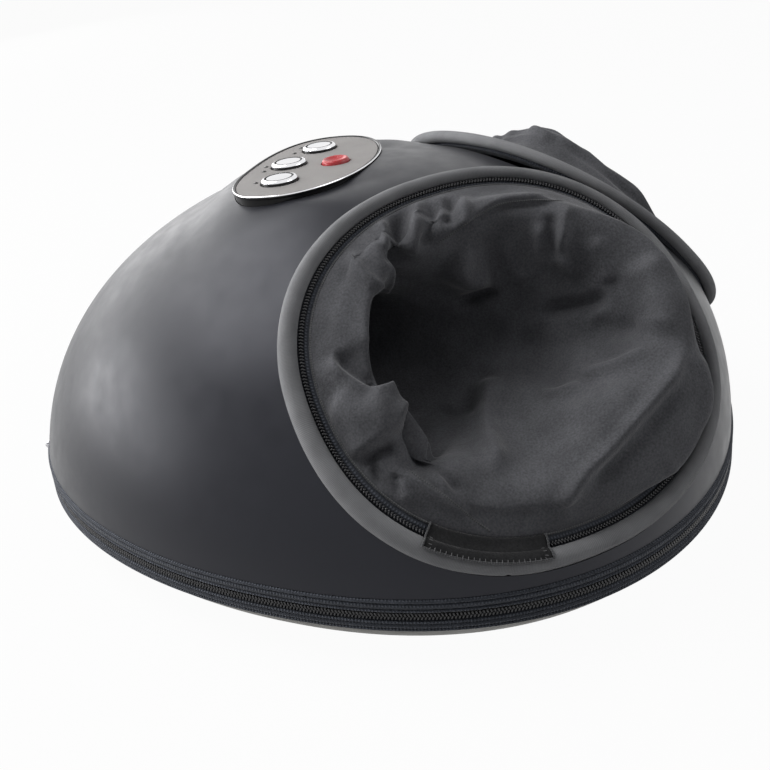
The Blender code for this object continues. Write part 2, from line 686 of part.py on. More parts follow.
def make_tray():
    """Tray with a rim inside the cloth band, a step under it and bosses on its floor."""
    rim = -(TAPE_THICKNESS + FIT)
    top = DOME_EDGE - FIT
    outer = [(-TRAY_INSET, TRAY_BOTTOM), (-TRAY_INSET / 2.0, (TRAY_BOTTOM + TRAY_STEP) / 2.0 - FIT),
             (-TRAY_LIP_INSET, TRAY_STEP), (rim, TRAY_STEP), (rim, top)]
    inner = [(rim - TRAY_WALL, top), (rim - TRAY_WALL, TRAY_STEP),
             (-TRAY_INSET - TRAY_WALL, TRAY_BOTTOM + TRAY_FLOOR)]
    rows = [[base_point(a, z, offset) for a in angles(AROUND)] for offset, z in outer + inner]
    tray = place("tray_body", loft("tray_body", rows), None, CUTTERS)
    floor = TRAY_BOTTOM + TRAY_FLOOR
    height = CASE_BOTTOM - FIT - floor
    bosses = []
    for side in SIDES.values():
        for x in (-CASE_HALF_X + CASE_CORNER, CASE_HALF_X - CASE_CORNER):
            for y in (-CASE_HALF_Y + CASE_CORNER, CASE_HALF_Y - CASE_CORNER):
                bosses.append(rod("boss", BOSS_RADIUS, height + TRAY_FLOOR / 2.0,
                                  (side * HEAD_X + x, HEAD_MIDDLE_Y + y,
                                   floor + height / 2.0 - TRAY_FLOOR / 4.0),
                                  sides=10, collection=CUTTERS))
    hole = rod("inlet_hole", INLET_RADIUS + FIT, INLET_LENGTH * 2.0, inlet_place(), "Y", sides=16,
               collection=CUTTERS)
    place("base_tray", joined_mesh("base_tray", tray, bosses, [hole]), TRAY_GREY)


def inlet_place():
    return (0.0, base_point(math.pi / 2.0, INLET_Z, -TRAY_INSET / 2.0).y, INLET_Z)


def make_feet():
    top = TRAY_BOTTOM - FIT
    for end, y in (("front", FOOT_FRONT_Y), ("back", FOOT_BACK_Y)):
        for label, side in SIDES.items():
            foot = turned("rubber_foot_%s_%s" % (end, label),
                          [(0.0, top), (FOOT_RADIUS, top), (FOOT_RADIUS, FOOT_CHAMFER),
                           (FOOT_RADIUS - FOOT_CHAMFER, 0.0), (0.0, 0.0)], RUBBER, steps=12)
            foot.location = (side * FOOT_X, y, 0.0)


def make_band():
    """Upper tape, coil and lower tape with its piping, stacked round the tray's rim."""
    stations = angles(AROUND)
    inner = -TAPE_THICKNESS

    def around(angle, offset, z):
        return base_point(angle, z, offset)

    top = DOME_EDGE - FIT
    low = UPPER_TAPE_BOTTOM
    upper = [(inner, top), (inner, low), (0.0, low), (0.0, top)]
    place("upper_zipper_tape", sweep("upper_zipper_tape", around, upper, stations), TAPE_BLACK)
    top = low - FIT
    low = COIL_BOTTOM
    coil = [(inner, top), (inner, low), (0.0, low), (COIL_BULGE, (top + low) / 2.0), (0.0, top)]
    place("base_zipper_coil", sweep("base_zipper_coil", around, coil, stations), COIL_BLACK)
    top = low - FIT
    low = PIPING_BOTTOM
    waist = (top + low) / 2.0
    lower = [(inner, top), (inner, low), (PIPING_BULGE / 2.0, low), (PIPING_BULGE, waist), (0.0, top)]
    place("lower_zipper_tape", sweep("lower_zipper_tape", around, lower, stations), TAPE_BLACK)


def make_ring(label, side):
    stations = angles(RING_STEPS)
    ring = add_curve("opening_ring_" + label, [ring_point(side, a) for a in stations],
                     RING_TUBE, RING_GREY, cyclic=True)
    ring.data.use_fill_caps = False

    def around(angle, offset, height):
        return ring_point(side, angle, offset, height)

    outer = -(RING_TUBE + FIT)
    inner = outer - ZIP_WIDTH
    face = -ZIP_DROP
    back = face - ZIP_THICKNESS
    tape = [((inner + outer) / 2.0, back), (outer, face), ((inner + outer) / 2.0, face + ZIP_BEAD),
            (inner, face)]
    name = "opening_zipper_" + label
    place(name, sweep(name, around, tape, stations), COIL_BLACK)


def make_flap(label, side):
    """Cloth flap that laps from the zipper over the ring."""
    reach = RING_TUBE + FIT

    def around(angle, offset, height):
        return ring_point(side, angle, offset, height)

    low = reach + FIT
    high = low + FLAP_THICKNESS
    inner = -(RING_TUBE + FIT + ZIP_WIDTH)
    arc = [math.pi + (FLAP_REACH - math.pi) * i / 4.0 for i in range(5)]
    under = [(inner, ZIP_FACE_GAP)] + [(low * math.cos(a), low * math.sin(a)) for a in arc[1:]]
    over = [(inner, ZIP_FACE_GAP + FLAP_THICKNESS)] + [(high * math.cos(a), high * math.sin(a))
                                                     for a in arc[1:]]
    stations = angles(RING_STEPS)[FLAP_FIRST:FLAP_LAST + 1]
    name = "zipper_flap_" + label
    place(name, sweep(name, around, under + over[::-1], stations, closed=False), LINER_GREY)


def loop_point(side, shares, angle):
    """Point of a smooth closed loop through knots at even angles round a ring."""
    count = len(shares)
    at = (angle / (2.0 * math.pi) * count) % count
    index = int(at)
    t = at - index
    before, first, second, after = (Vector(shares[(index + k) % count]) for k in (-1, 0, 1, 2))
    knot = (first * 2.0 + (second - before) * t
            + (before * 2.0 - first * 5.0 + second * 4.0 - after) * t ** 2
            + (first * 3.0 - before - second * 3.0 + after) * t ** 3) / 2.0
    sizes = (RING_HALF_LENGTH, RING_HALF_HEIGHT, LINER_LIP)
    reach = [value * size / steps for value, size, steps in zip(knot, sizes, LOOP_STEPS)]
    along, up, normal, centre = ring_frame(side)
    return centre + along * reach[0] + up * reach[1] + normal * reach[2]


def liner_loops(side):
    """Loops of one liner: the right one stands higher over the toes and lower on its inner side."""
    if side < 0.0:
        return LINER_LOOPS
    return [[(knot[0], knot[1], knot[2] + lift * share) for knot, lift in zip(loop, RIGHT_LIFT_STEP_SHARES)]
            for loop, share in zip(LINER_LOOPS, LIFT_SHARES)]


def liner_sections(side, angle):
    """Points of the liner's foot side at one angle, from the zipper to the toe."""
    start = -(RING_TUBE + FIT + ZIP_WIDTH + LINER_ROOT_GAP + LINER_CLOTH)
    points = [ring_point(side, angle, start, -ZIP_DROP - ZIP_THICKNESS / 2.0),
              ring_point(side, angle, start, LINER_ROOT_RISE)]
    points += [loop_point(side, shares, angle) for shares in liner_loops(side)]
    cross = -side * math.cos(angle)
    rise = math.sin(angle)
    throat = Vector((side * LINER_THROAT_X + cross * LINER_THROAT_HALF_WIDTH, LINER_THROAT_Y,
                     LINER_THROAT_Z + rise * LINER_THROAT_HALF_HEIGHT))
    toe = Vector((side * LINER_TOE_X + cross * LINER_TOE_HALF_WIDTH, LINER_TOE_Y,
                  LINER_TOE_Z + rise * LINER_TOE_HALF_HEIGHT))
    middle = Vector((side * LINER_TOE_X, LINER_TOE_Y, LINER_TOE_Z))
    cap = middle.lerp(toe, LINER_CAP_SHARE)
    cap.y += LINER_TOE_DEPTH * LINER_CAP_SHARE
    return points + [throat, throat.lerp(toe, 0.5), toe, cap]


def above_heads(side, point):
    """Keep the liner's sole clear of the circles that the kneading nodes sweep."""
    nearest = min(max(point.y, HEAD_MIDDLE_Y - HEAD_SPACING), HEAD_MIDDLE_Y + HEAD_SPACING)
    reach = math.hypot(point.x - side * HEAD_X, point.y - nearest)
    away = max(0.0, reach - NODE_ORBIT - NODE_RADIUS - HEAD_CLEAR)
    lowest = HEAD_TOP + LINER_HEAD_GAP + LINER_CLOTH - away * HEAD_CLEAR_SLOPE_SHARE
    return Vector((point.x, point.y, max(point.z, lowest)))


def make_liner(label, side):
    columns = [liner_sections(side, angle) for angle in angles(LINER_AROUND)]
    rows = [[above_heads(side, column[row]) for column in columns] for row in range(len(columns[0]))]
    tip = sum(rows[-1], Vector()) / len(rows[-1])
    tip.y = LINER_TOE_Y + LINER_TOE_DEPTH
    rows.append([tip])
    name = "liner_" + label
    sock = place(name, loft(name, rows, cap_ends=False), LINER_GREY)
    cloth = sock.modifiers.new("Cloth", "SOLIDIFY")
    cloth.thickness = LINER_CLOTH
    cloth.offset = -1.0


def make_panel():
    frame = panel_frame()
    crown = PANEL_CROWN
    skirt = -PANEL_SKIRT_INSET
    wall = skirt - PANEL_WALL
    ledge_top = -PLATE_THICKNESS - FIT
    ledge_low = ledge_top - PANEL_LEDGE_THICKNESS
    profile = [(0.0, 0.0), (-crown, crown), (-PANEL_FLANGE, crown), (wall, 0.0), (wall, ledge_top),
               (wall - PANEL_LEDGE, ledge_top), (wall - PANEL_LEDGE, ledge_low), (wall, ledge_low),
               (wall, -PANEL_SKIRT), (skirt, -PANEL_SKIRT), (skirt, -PANEL_FLANGE_DROP),
               (0.0, -PANEL_FLANGE_DROP)]
    rings = [panel_outline(offset, height, PANEL_STEPS) for offset, height in profile]
    bezel = place("panel_bezel", loft("panel_bezel", rings, closed_rows=True), CHROME)
    bezel.matrix_world = frame
    board = flat_curve("panel_board", [panel_outline(wall - FIT, 0.0, PANEL_STEPS)], BOARD_THICKNESS)
    board = solidified(board)
    switches = []
    for name, x, y, radius in buttons():
        height = switch_height()
        switches.append(box("switch", (SWITCH_SIZE, SWITCH_SIZE, height),
                            (x, y, height / 2.0), collection=CUTTERS))
    mesh = joined_mesh("panel_board", board, switches)
    board = place("panel_board", mesh, GREEN_BOARD, smooth=False)
    board.matrix_world = frame @ Matrix.Translation((0.0, 0.0, -BOARD_DROP))
    holes = [circle(x, y, radius + FIT * 2.0, 16) for name, x, y, radius in buttons()]
    holes += [circle(x, y, LENS_RADIUS + FIT, 6) for x, y in lens_places()]
    plate = flat_curve("panel_plate", [panel_outline(wall - FIT, 0.0, PANEL_STEPS)] + holes,
                       PLATE_THICKNESS, PLATE_SILVER)
    plate.matrix_world = frame @ Matrix.Translation((0.0, 0.0, -PLATE_THICKNESS / 2.0))
    make_lens_strip(frame)
    for name, x, y, radius in buttons():
        look = RED if name == "power_button" else CHROME
        stem = -BOARD_DROP + BOARD_THICKNESS / 2.0 + switch_height() + BUTTON_TRAVEL + FIT
        face = [(radius * r, BUTTON_CROWN * h) for r, h in BUTTON_FACE_SHARES]
        button = turned(name, face + [(radius, 0.0), (radius, -BUTTON_SKIRT), (BUTTON_STEM, -BUTTON_SKIRT),
                                      (BUTTON_STEM, stem), (0.0, stem)], look, steps=14)
        button.matrix_world = frame @ Matrix.Translation((x, y, 0.0))


def make_lens_strip(frame):
    """Light guide behind the plate: a thin web between the buttons with a peg in each lens hole."""
    top = -PLATE_THICKNESS - FIT
    side_y = CHROME_SIDE_Y + lens_gap()
    high_y = CHROME_MIDDLE_Y + lens_gap()
    end = CHROME_SPACING + CHROME_RADIUS
    step = CHROME_RADIUS + LENS_RADIUS * 2.0
    half = LENS_RADIUS * 1.6
    below = [(-end, side_y - half), (-step - half, side_y - half), (-step + half, high_y - half * 1.8),
             (step - half, high_y - half * 1.8), (step + half, side_y - half), (end, side_y - half)]
    above = [(end, side_y + half), (step + half * 2.0, side_y + half), (step, high_y + half),
             (-step, high_y + half), (-step - half * 2.0, side_y + half), (-end, side_y + half)]
    web = flat_curve("web", [below + above], LENS_WEB, None, CUTTERS)
    web.location = (0.0, 0.0, top - LENS_WEB / 2.0)
    height = LENS_RISE - top + LENS_WEB / 2.0
    pegs = [rod("peg", LENS_RADIUS, height, (x, y, LENS_RISE - height / 2.0), sides=6, collection=CUTTERS)
            for x, y in lens_places()]
    strip = place("indicator_lenses", joined_mesh("indicator_lenses", solidified(web), pegs), LENS_DARK)
    strip.matrix_world = frame


def switch_height():
    return SWITCH_SIZE / 3.0


def buttons():
    return [("chrome_button_left", -CHROME_SPACING, CHROME_SIDE_Y, CHROME_RADIUS),
            ("chrome_button_middle", 0.0, CHROME_MIDDLE_Y, CHROME_RADIUS),
            ("chrome_button_right", CHROME_SPACING, CHROME_SIDE_Y, CHROME_RADIUS),
            ("power_button", 0.0, POWER_Y, POWER_RADIUS)]


def lens_gap():
    return CHROME_RADIUS + LENS_RADIUS * 3.0


def lens_places():
    """One lens behind the left button, three behind the middle one, two behind the right one."""
    gap = lens_gap()
    spread = CHROME_RADIUS
    places = [(-CHROME_SPACING, CHROME_SIDE_Y + gap)]
    places += [(spread * i, CHROME_MIDDLE_Y + gap - abs(i) * LENS_RADIUS * 2.0) for i in (-1, 0, 1)]
    places += [(CHROME_SPACING + spread * i, CHROME_SIDE_Y + gap) for i in (-0.6, 0.6)]
    return places


def gear_outline(teeth, module, tooth, addendum, dedendum, phase=0.0, tip_share=0.45):
    """Straight-flanked tooth outline; tooth is its thickness on the pitch circle."""
    pitch = teeth * module / 2.0
    root = pitch - dedendum
    tip = pitch + addendum
    half = tooth / pitch / 2.0
    slope = half * (1.0 - tip_share) / addendum
    points = []
    for k in range(teeth):
        centre = phase + 2.0 * math.pi * k / teeth
        flank = ((root, half + slope * dedendum * 0.55), (tip, half - slope * addendum))
        points += [(r, centre - a) for r, a in flank]
        points += [(r, centre + a) for r, a in reversed(flank)]
    return points


def gear_solid(name, outline, low, high, twist=0.0, collection=None):
    rows = []
    for z, turn in ((low, -twist / 2.0), (high, twist / 2.0)):
        rows.append([Vector((r * math.cos(a + turn), r * math.sin(a + turn), z)) for r, a in outline])
    return place(name, loft(name, rows), None, collection or CUTTERS, smooth=False)


def gear_module():
    return HEAD_SPACING / GEAR_TEETH


def case_floor():
    return CASE_BOTTOM + CASE_FLOOR


def make_kneading_unit(label, side, position, index):
    """A kneading gear on its post and the head that it carries."""
    middle = index == 0
    module = gear_module()
    spot = (side * HEAD_X, HEAD_MIDDLE_Y + index * HEAD_SPACING, 0.0)
    phase = 0.0 if middle else math.pi / GEAR_TEETH
    tooth = math.pi * module / 2.0 - GEAR_BACKLASH
    outline = gear_outline(GEAR_TEETH, module, tooth, module * GEAR_ADDENDUM_SHARE,
                           module * GEAR_DEDENDUM_SHARE, phase)
    top = GEAR_BOTTOM + GEAR_THICKNESS
    plate = gear_solid("gear_plate", outline, GEAR_BOTTOM, top)
    low = wheel_top() + FIT if middle else case_floor() + FIT
    hub = rod("gear_hub", GEAR_HUB, GEAR_BOTTOM + GEAR_THICKNESS / 2.0 - low,
              (0.0, 0.0, (GEAR_BOTTOM + GEAR_THICKNESS / 2.0 + low) / 2.0), sides=10, collection=CUTTERS)
    bore = rod("gear_bore", POST_RADIUS + FIT, CASE_TOP, (0.0, 0.0, CASE_TOP / 2.0 + CASE_FLOOR),
               sides=10, collection=CUTTERS)
    name = "kneading_gear_%s_%s" % (label, position)
    gear = place(name, joined_mesh(name, plate, [hub], [bore]), ACETAL, smooth=False)
    gear.location = spot
    disc_low = top + FIT
    disc = rod("head_disc", HEAD_RADIUS, HEAD_DISC, (0.0, 0.0, HEAD_BOTTOM + HEAD_DISC / 2.0), sides=16,
               collection=CUTTERS)
    collar = rod("head_collar", GEAR_HUB, HEAD_BOTTOM + HEAD_DISC / 2.0 - disc_low,
                 (0.0, 0.0, (HEAD_BOTTOM + HEAD_DISC / 2.0 + disc_low) / 2.0), sides=10,
                 collection=CUTTERS)
    knobs = []
    base = HEAD_BOTTOM + HEAD_DISC / 2.0
    for turn in range(3):
        angle = math.pi / 2.0 + side * (2.0 * math.pi * turn / 3.0 + math.pi / 6.0 * index)
        knob = turned("knob", [(0.0, HEAD_TOP), (NODE_RADIUS * 0.65, HEAD_TOP - NODE_RADIUS * 0.25),
                               (NODE_RADIUS, HEAD_TOP - NODE_RADIUS), (NODE_RADIUS, base), (0.0, base)],
                      steps=8, collection=CUTTERS)
        knob.location = (NODE_ORBIT * math.cos(angle), NODE_ORBIT * math.sin(angle), 0.0)
        knobs.append(knob)
    bore = rod("head_bore", POST_RADIUS + FIT, CASE_TOP, (0.0, 0.0, CASE_TOP / 2.0 + CASE_FLOOR),
               sides=10, collection=CUTTERS)
    name = "kneading_head_%s_%s" % (label, position)
    head = place(name, joined_mesh(name, disc, [collar] + knobs, [bore]), NODE_GREY)
    head.location = spot


def wheel_top():
    return SHAFT_Z + WORM_WHEEL_THICKNESS / 2.0


def worm_axis_y():
    return HEAD_MIDDLE_Y + WORM_WHEEL_TEETH * WORM_WHEEL_MODULE / 2.0 + WORM_RADIUS


def worm_lead():
    return math.pi * WORM_WHEEL_MODULE


def make_worm_wheel(label, side):
    """Worm wheel under the middle gear, its teeth skewed by the worm's lead angle."""
    module = WORM_WHEEL_MODULE
    lead_angle = math.atan(worm_lead() / (2.0 * math.pi * WORM_RADIUS))
    pitch = WORM_WHEEL_TEETH * module / 2.0
    twist = -side * WORM_WHEEL_THICKNESS * math.tan(lead_angle) / pitch
    outline = gear_outline(WORM_WHEEL_TEETH, module, WORM_WHEEL_TOOTH, module,
                           module * WORM_DEDENDUM_SHARE, math.pi / 2.0)
    low = SHAFT_Z - WORM_WHEEL_THICKNESS / 2.0
    plate = gear_solid("wheel_plate", outline, low, wheel_top(), twist)
    floor = case_floor() + FIT
    hub = rod("wheel_hub", GEAR_HUB, SHAFT_Z - floor, (0.0, 0.0, (SHAFT_Z + floor) / 2.0), sides=10,
              collection=CUTTERS)
    bore = rod("wheel_bore", POST_RADIUS + FIT, CASE_TOP, (0.0, 0.0, CASE_TOP / 2.0), sides=10,
               collection=CUTTERS)
    name = "worm_wheel_" + label
    wheel = place(name, joined_mesh(name, plate, [hub], [bore]), ACETAL, smooth=False)
    wheel.location = (side * HEAD_X, HEAD_MIDDLE_Y, 0.0)


def worm_tip():
    return WORM_RADIUS + WORM_WHEEL_MODULE


def worm_root():
    return WORM_RADIUS - WORM_WHEEL_MODULE * WORM_DEDENDUM_SHARE - WORM_ROOT_GAP


def worm_thread(name, side):
    """One screw thread of trapezoid section about the shaft's X axis."""
    lead = worm_lead()
    root = worm_root()
    tip = worm_tip()
    steps = WORM_TURNS * WORM_STEPS
    rows = []
    for step in range(steps + 1):
        turn = 2.0 * math.pi * (step / WORM_STEPS - WORM_TURNS / 2.0)
        x = side * HEAD_X + lead * turn / (2.0 * math.pi) + lead / 2.0
        angle = math.pi - side * turn
        foot = WORM_THREAD * THREAD_FOOT_SHARE
        land = WORM_THREAD * THREAD_TIP_SHARE
        row = [(root - WORM_ROOT_GAP, -foot), (tip, -land), (tip, land), (root - WORM_ROOT_GAP, foot)]
        rows.append([Vector((x + shift, r * math.cos(angle), r * math.sin(angle))) for r, shift in row])
    return place(name, loft(name, rows), None, CUTTERS, smooth=False)


def make_worm_shaft():
    root = worm_root()
    length = (HEAD_X + CASE_HALF_X) * 2.0
    shaft = rod("shaft", SHAFT_RADIUS, length, (0.0, 0.0, 0.0), "X", sides=10, collection=CUTTERS)
    extras = []
    for label, side in SIDES.items():
        core = worm_lead() * (WORM_TURNS + 1.5)
        extras.append(rod("core_" + label, root, core, (side * HEAD_X, 0.0, 0.0), "X", sides=8,
                          collection=CUTTERS))
        extras.append(worm_thread("thread_" + label, side))
    worm = place("worm_shaft", joined_mesh("worm_shaft", shaft, extras), STEEL)
    worm.location = (0.0, worm_axis_y(), SHAFT_Z)


def make_gear_case(label, side):
    """Open-topped moulded case with a shaft hole through both of its long walls."""
    x = side * HEAD_X
    y = HEAD_MIDDLE_Y
    rows = []
    for inset, z in ((0.0, CASE_BOTTOM), (0.0, CASE_TOP), (CASE_WALL, CASE_TOP), (CASE_WALL, case_floor())):
        outline = round_rectangle(x, y, CASE_HALF_X - inset, CASE_HALF_Y - inset, CASE_CORNER - inset)
        rows.append([Vector((px, py, z)) for px, py in outline])
    body = place("case_body", loft("case_body", rows), None, CUTTERS)
    wall = CASE_HALF_X * side
    inner = rod("worm_hole", worm_tip() + FIT * 3.0, CASE_WALL * 3.0, (x - wall, worm_axis_y(), SHAFT_Z),
                "X", sides=16, collection=CUTTERS)
    outer = rod("bush_hole", BUSH_RADIUS + FIT, CASE_WALL * 3.0, (x + wall, worm_axis_y(), SHAFT_Z),
                "X", sides=14, collection=CUTTERS)
    height = POST_TOP - CASE_BOTTOM - CASE_FLOOR / 2.0
    posts = [rod("post", POST_RADIUS, height,
                 (x, y + index * HEAD_SPACING, POST_TOP - height / 2.0), sides=10, collection=CUTTERS)
             for index in (-1, 0, 1)]
    name = "gear_case_" + label
    place(name, joined_mesh(name, body, posts, [inner, outer]), ABS_WHITE)


def make_bush(label, side):
    """Flanged bush that carries the shaft's end in the outer wall of a gear case."""
    half = CASE_WALL / 2.0
    bore = SHAFT_RADIUS + FIT
    flange = BUSH_RADIUS + BUSH_FLANGE
    bush = turned("shaft_bush_" + label,
                  [(bore, half), (BUSH_RADIUS, half), (BUSH_RADIUS, -half - FIT),
                   (flange, -half - FIT), (flange, -half - BUSH_FLANGE), (bore, -half - BUSH_FLANGE)],
                  BRONZE, steps=14)
    x = side * (HEAD_X + CASE_HALF_X - CASE_WALL / 2.0)
    bush.matrix_world = Matrix.Translation((x, worm_axis_y(), SHAFT_Z)) \
        @ Matrix.Rotation(side * math.pi / 2.0, 4, "Y")


def make_foot_bed(label, side):
    x = side * HEAD_X
    y = HEAD_MIDDLE_Y
    outline = round_rectangle(x, y, CASE_HALF_X + BED_BORDER, CASE_HALF_Y + BED_BORDER,
                              CASE_CORNER + BED_BORDER)
    holes = [circle(x, y + index * HEAD_SPACING, BED_HOLE, 16) for index in (-1, 0, 1)]
    bed = flat_curve("foot_bed_" + label, [outline] + holes, BED_THICKNESS, TRAY_GREY)
    bed.location = (0.0, 0.0, CASE_TOP + FIT + BED_THICKNESS / 2.0)


def make_motor():
    y = worm_axis_y()
    half = MOTOR_HALF_LENGTH
    bore = SHAFT_RADIUS + FIT
    waist = MOTOR_RADIUS * 0.45
    motor = turned("motor", [(bore, half + MOTOR_CAP), (waist, half + MOTOR_CAP), (waist, half),
                             (MOTOR_RADIUS, half), (MOTOR_RADIUS, -half), (waist, -half),
                             (waist, -half - MOTOR_CAP), (bore, -half - MOTOR_CAP)], MOTOR_METAL,
                   steps=16)
    motor.matrix_world = Matrix.Translation((0.0, y, SHAFT_Z)) @ Matrix.Rotation(math.pi / 2.0, 4, "Y")
    floor = TRAY_BOTTOM + TRAY_FLOOR + FIT
    height = SHAFT_Z - floor
    block = box("block", (half * 1.5, CRADLE_WIDTH, height), (0.0, y, floor + height / 2.0),
                collection=CUTTERS)
    seat = rod("seat", MOTOR_RADIUS + FIT, half * 4.0, (0.0, y, SHAFT_Z), "X", sides=16,
               collection=CUTTERS)
    gap = box("gap", (half * 1.5 - CRADLE_RIB * 2.0, CRADLE_WIDTH * 2.0, height),
              (0.0, y, floor + height / 2.0 + CRADLE_RIB / 2.0), collection=CUTTERS)
    place("motor_cradle", joined_mesh("motor_cradle", block, (), [seat, gap]), ABS_WHITE)


def make_air_supply():
    floor = TRAY_BOTTOM + TRAY_FLOOR + FIT
    z = floor + PUMP_RADIUS
    length = PUMP_LENGTH / 2.0
    pump = turned("air_pump", [(PUMP_RADIUS * r, length * h) for r, h in PUMP_SHARES], MOTOR_METAL, steps=14)
    pump.matrix_world = Matrix.Translation((0.0, PUMP_Y, z)) @ Matrix.Rotation(math.pi / 2.0, 4, "Y")
    size = VALVE_SIZE
    box("valve_block", (size, size, size), (VALVE_X, PUMP_Y, floor + size / 2.0), ABS_WHITE,
        bevel=size * 0.06)
    bm = bmesh.new()
    board = Matrix.Translation((BOARD_X, PUMP_Y, floor + BOARD_STANDOFF + BOARD_THICKNESS / 2.0))
    bmesh.ops.create_cube(bm, size=1.0, matrix=board @ Matrix.Diagonal(
        (BOARD_LENGTH, BOARD_DEPTH, BOARD_THICKNESS, 1.0)))
    plate = place("board_plate", mesh_from(bm, "board_plate"), None, CUTTERS, smooth=False)
    posts = []
    for x in (-0.4, 0.4):
        for y in (-0.4, 0.4):
            posts.append(rod("post", BOARD_THICKNESS, BOARD_STANDOFF + BOARD_THICKNESS / 2.0,
                             (BOARD_X + BOARD_LENGTH * x, PUMP_Y + BOARD_DEPTH * y,
                              floor + (BOARD_STANDOFF + BOARD_THICKNESS / 2.0) / 2.0), sides=8,
                             collection=CUTTERS))
    chip = box("chip", (BOARD_LENGTH * 0.3, BOARD_DEPTH * 0.4, BOARD_THICKNESS * 4.0),
               (BOARD_X, PUMP_Y, floor + BOARD_STANDOFF + BOARD_THICKNESS * 2.0), collection=CUTTERS)
    place("main_board", joined_mesh("main_board", plate, posts + [chip]), GREEN_BOARD, smooth=False)
    x, y, z = inlet_place()
    jack = rod("jack", INLET_RADIUS, INLET_LENGTH, (x, y - INLET_LENGTH / 2.0 + INLET_RADIUS, z), "Y",
               sides=16, collection=CUTTERS)
    socket = rod("socket", INLET_HOLE, INLET_LENGTH, (x, y + INLET_RADIUS, z), "Y", sides=10,
                 collection=CUTTERS)
    place("power_inlet", joined_mesh("power_inlet", jack, (), [socket]), RUBBER)


def bag_point(side, along, turn, lift):
    """Point over the liner's throat: along runs front to back, turn goes over the instep."""
    share = (along - LINER_THROAT_Y) / (LINER_TOE_Y - LINER_THROAT_Y)
    x = LINER_THROAT_X + (LINER_TOE_X - LINER_THROAT_X) * share
    z = LINER_THROAT_Z + (LINER_TOE_Z - LINER_THROAT_Z) * share
    wide = LINER_THROAT_HALF_WIDTH + (LINER_TOE_HALF_WIDTH - LINER_THROAT_HALF_WIDTH) * share + lift
    high = LINER_THROAT_HALF_HEIGHT + (LINER_TOE_HALF_HEIGHT - LINER_THROAT_HALF_HEIGHT) * share + lift
    return Vector((side * x + wide * math.sin(turn), along, z + high * math.cos(turn)))


def make_air_bag(label, side):
    """Curved pad that lies over the instep part of the liner."""
    rows = []
    steps = 6
    for step in range(5):
        along = AIR_BAG_FRONT + (AIR_BAG_BACK - AIR_BAG_FRONT) * step / 4.0
        swell = AIR_BAG_END_SHARE if step in (0, 4) else 1.0
        turns = [AIR_BAG_SPREAD * (2.0 * i / steps - 1.0) for i in range(steps + 1)]
        under = [bag_point(side, along, t, AIR_BAG_GAP) for t in turns]
        over = []
        for t in turns:
            crown = swell * (1.0 - AIR_BAG_EDGE_SHARE * (t / AIR_BAG_SPREAD) ** 2)
            over.append(bag_point(side, along, t, AIR_BAG_GAP + AIR_BAG_THICKNESS * crown))
        rows.append(under + over[::-1])
    name = "air_bag_" + label
    place(name, loft(name, rows), BAG_TAN)


def make_air_hose(label, side):
    """Hose from the valve block up between the liners to the back of an air bag."""
    top = TRAY_BOTTOM + TRAY_FLOOR + FIT + VALVE_SIZE + FIT
    start = Vector((VALVE_X + side * VALVE_SIZE / 4.0, PUMP_Y, top))
    end = bag_point(side, AIR_BAG_BACK, -side * HOSE_TURN, AIR_BAG_GAP + HOSE_RADIUS)
    end.y += FIT * 3.0
    rise = WORLD_UP * (end.z - top)
    behind = Vector((0.0, HOSE_RUN, HOSE_LIFT))
    points = []
    for step in range(HOSE_STEPS + 1):
        t = step / HOSE_STEPS
        ends = (start, start + rise, end + behind, end)
        weights = ((1 - t) ** 3, 3 * t * (1 - t) ** 2, 3 * t * t * (1 - t), t ** 3)
        points.append(sum((p * w for p, w in zip(ends, weights)), Vector()))
    add_curve("air_hose_" + label, points, HOSE_RADIUS, HOSE_CLEAR)


def slider_frame():
    """Frame on the base zipper: X along it, Y outwards, Z up."""
    z = (UPPER_TAPE_BOTTOM + COIL_BOTTOM) / 2.0
    offset = COIL_BULGE + FIT
    spot = base_point(SLIDER_ANGLE, z, offset)
    ahead = base_point(SLIDER_ANGLE - SLIDER_STEP, z, offset)
    run = ahead - base_point(SLIDER_ANGLE + SLIDER_STEP, z, offset)
    run.normalize()
    out = WORLD_UP.cross(run)
    return Matrix.Translation(spot) @ Matrix((run, out, WORLD_UP)).transposed().to_4x4()


def pull_pin_out():
    return SLIDER_THICKNESS + PULL_KNUCKLE + FIT


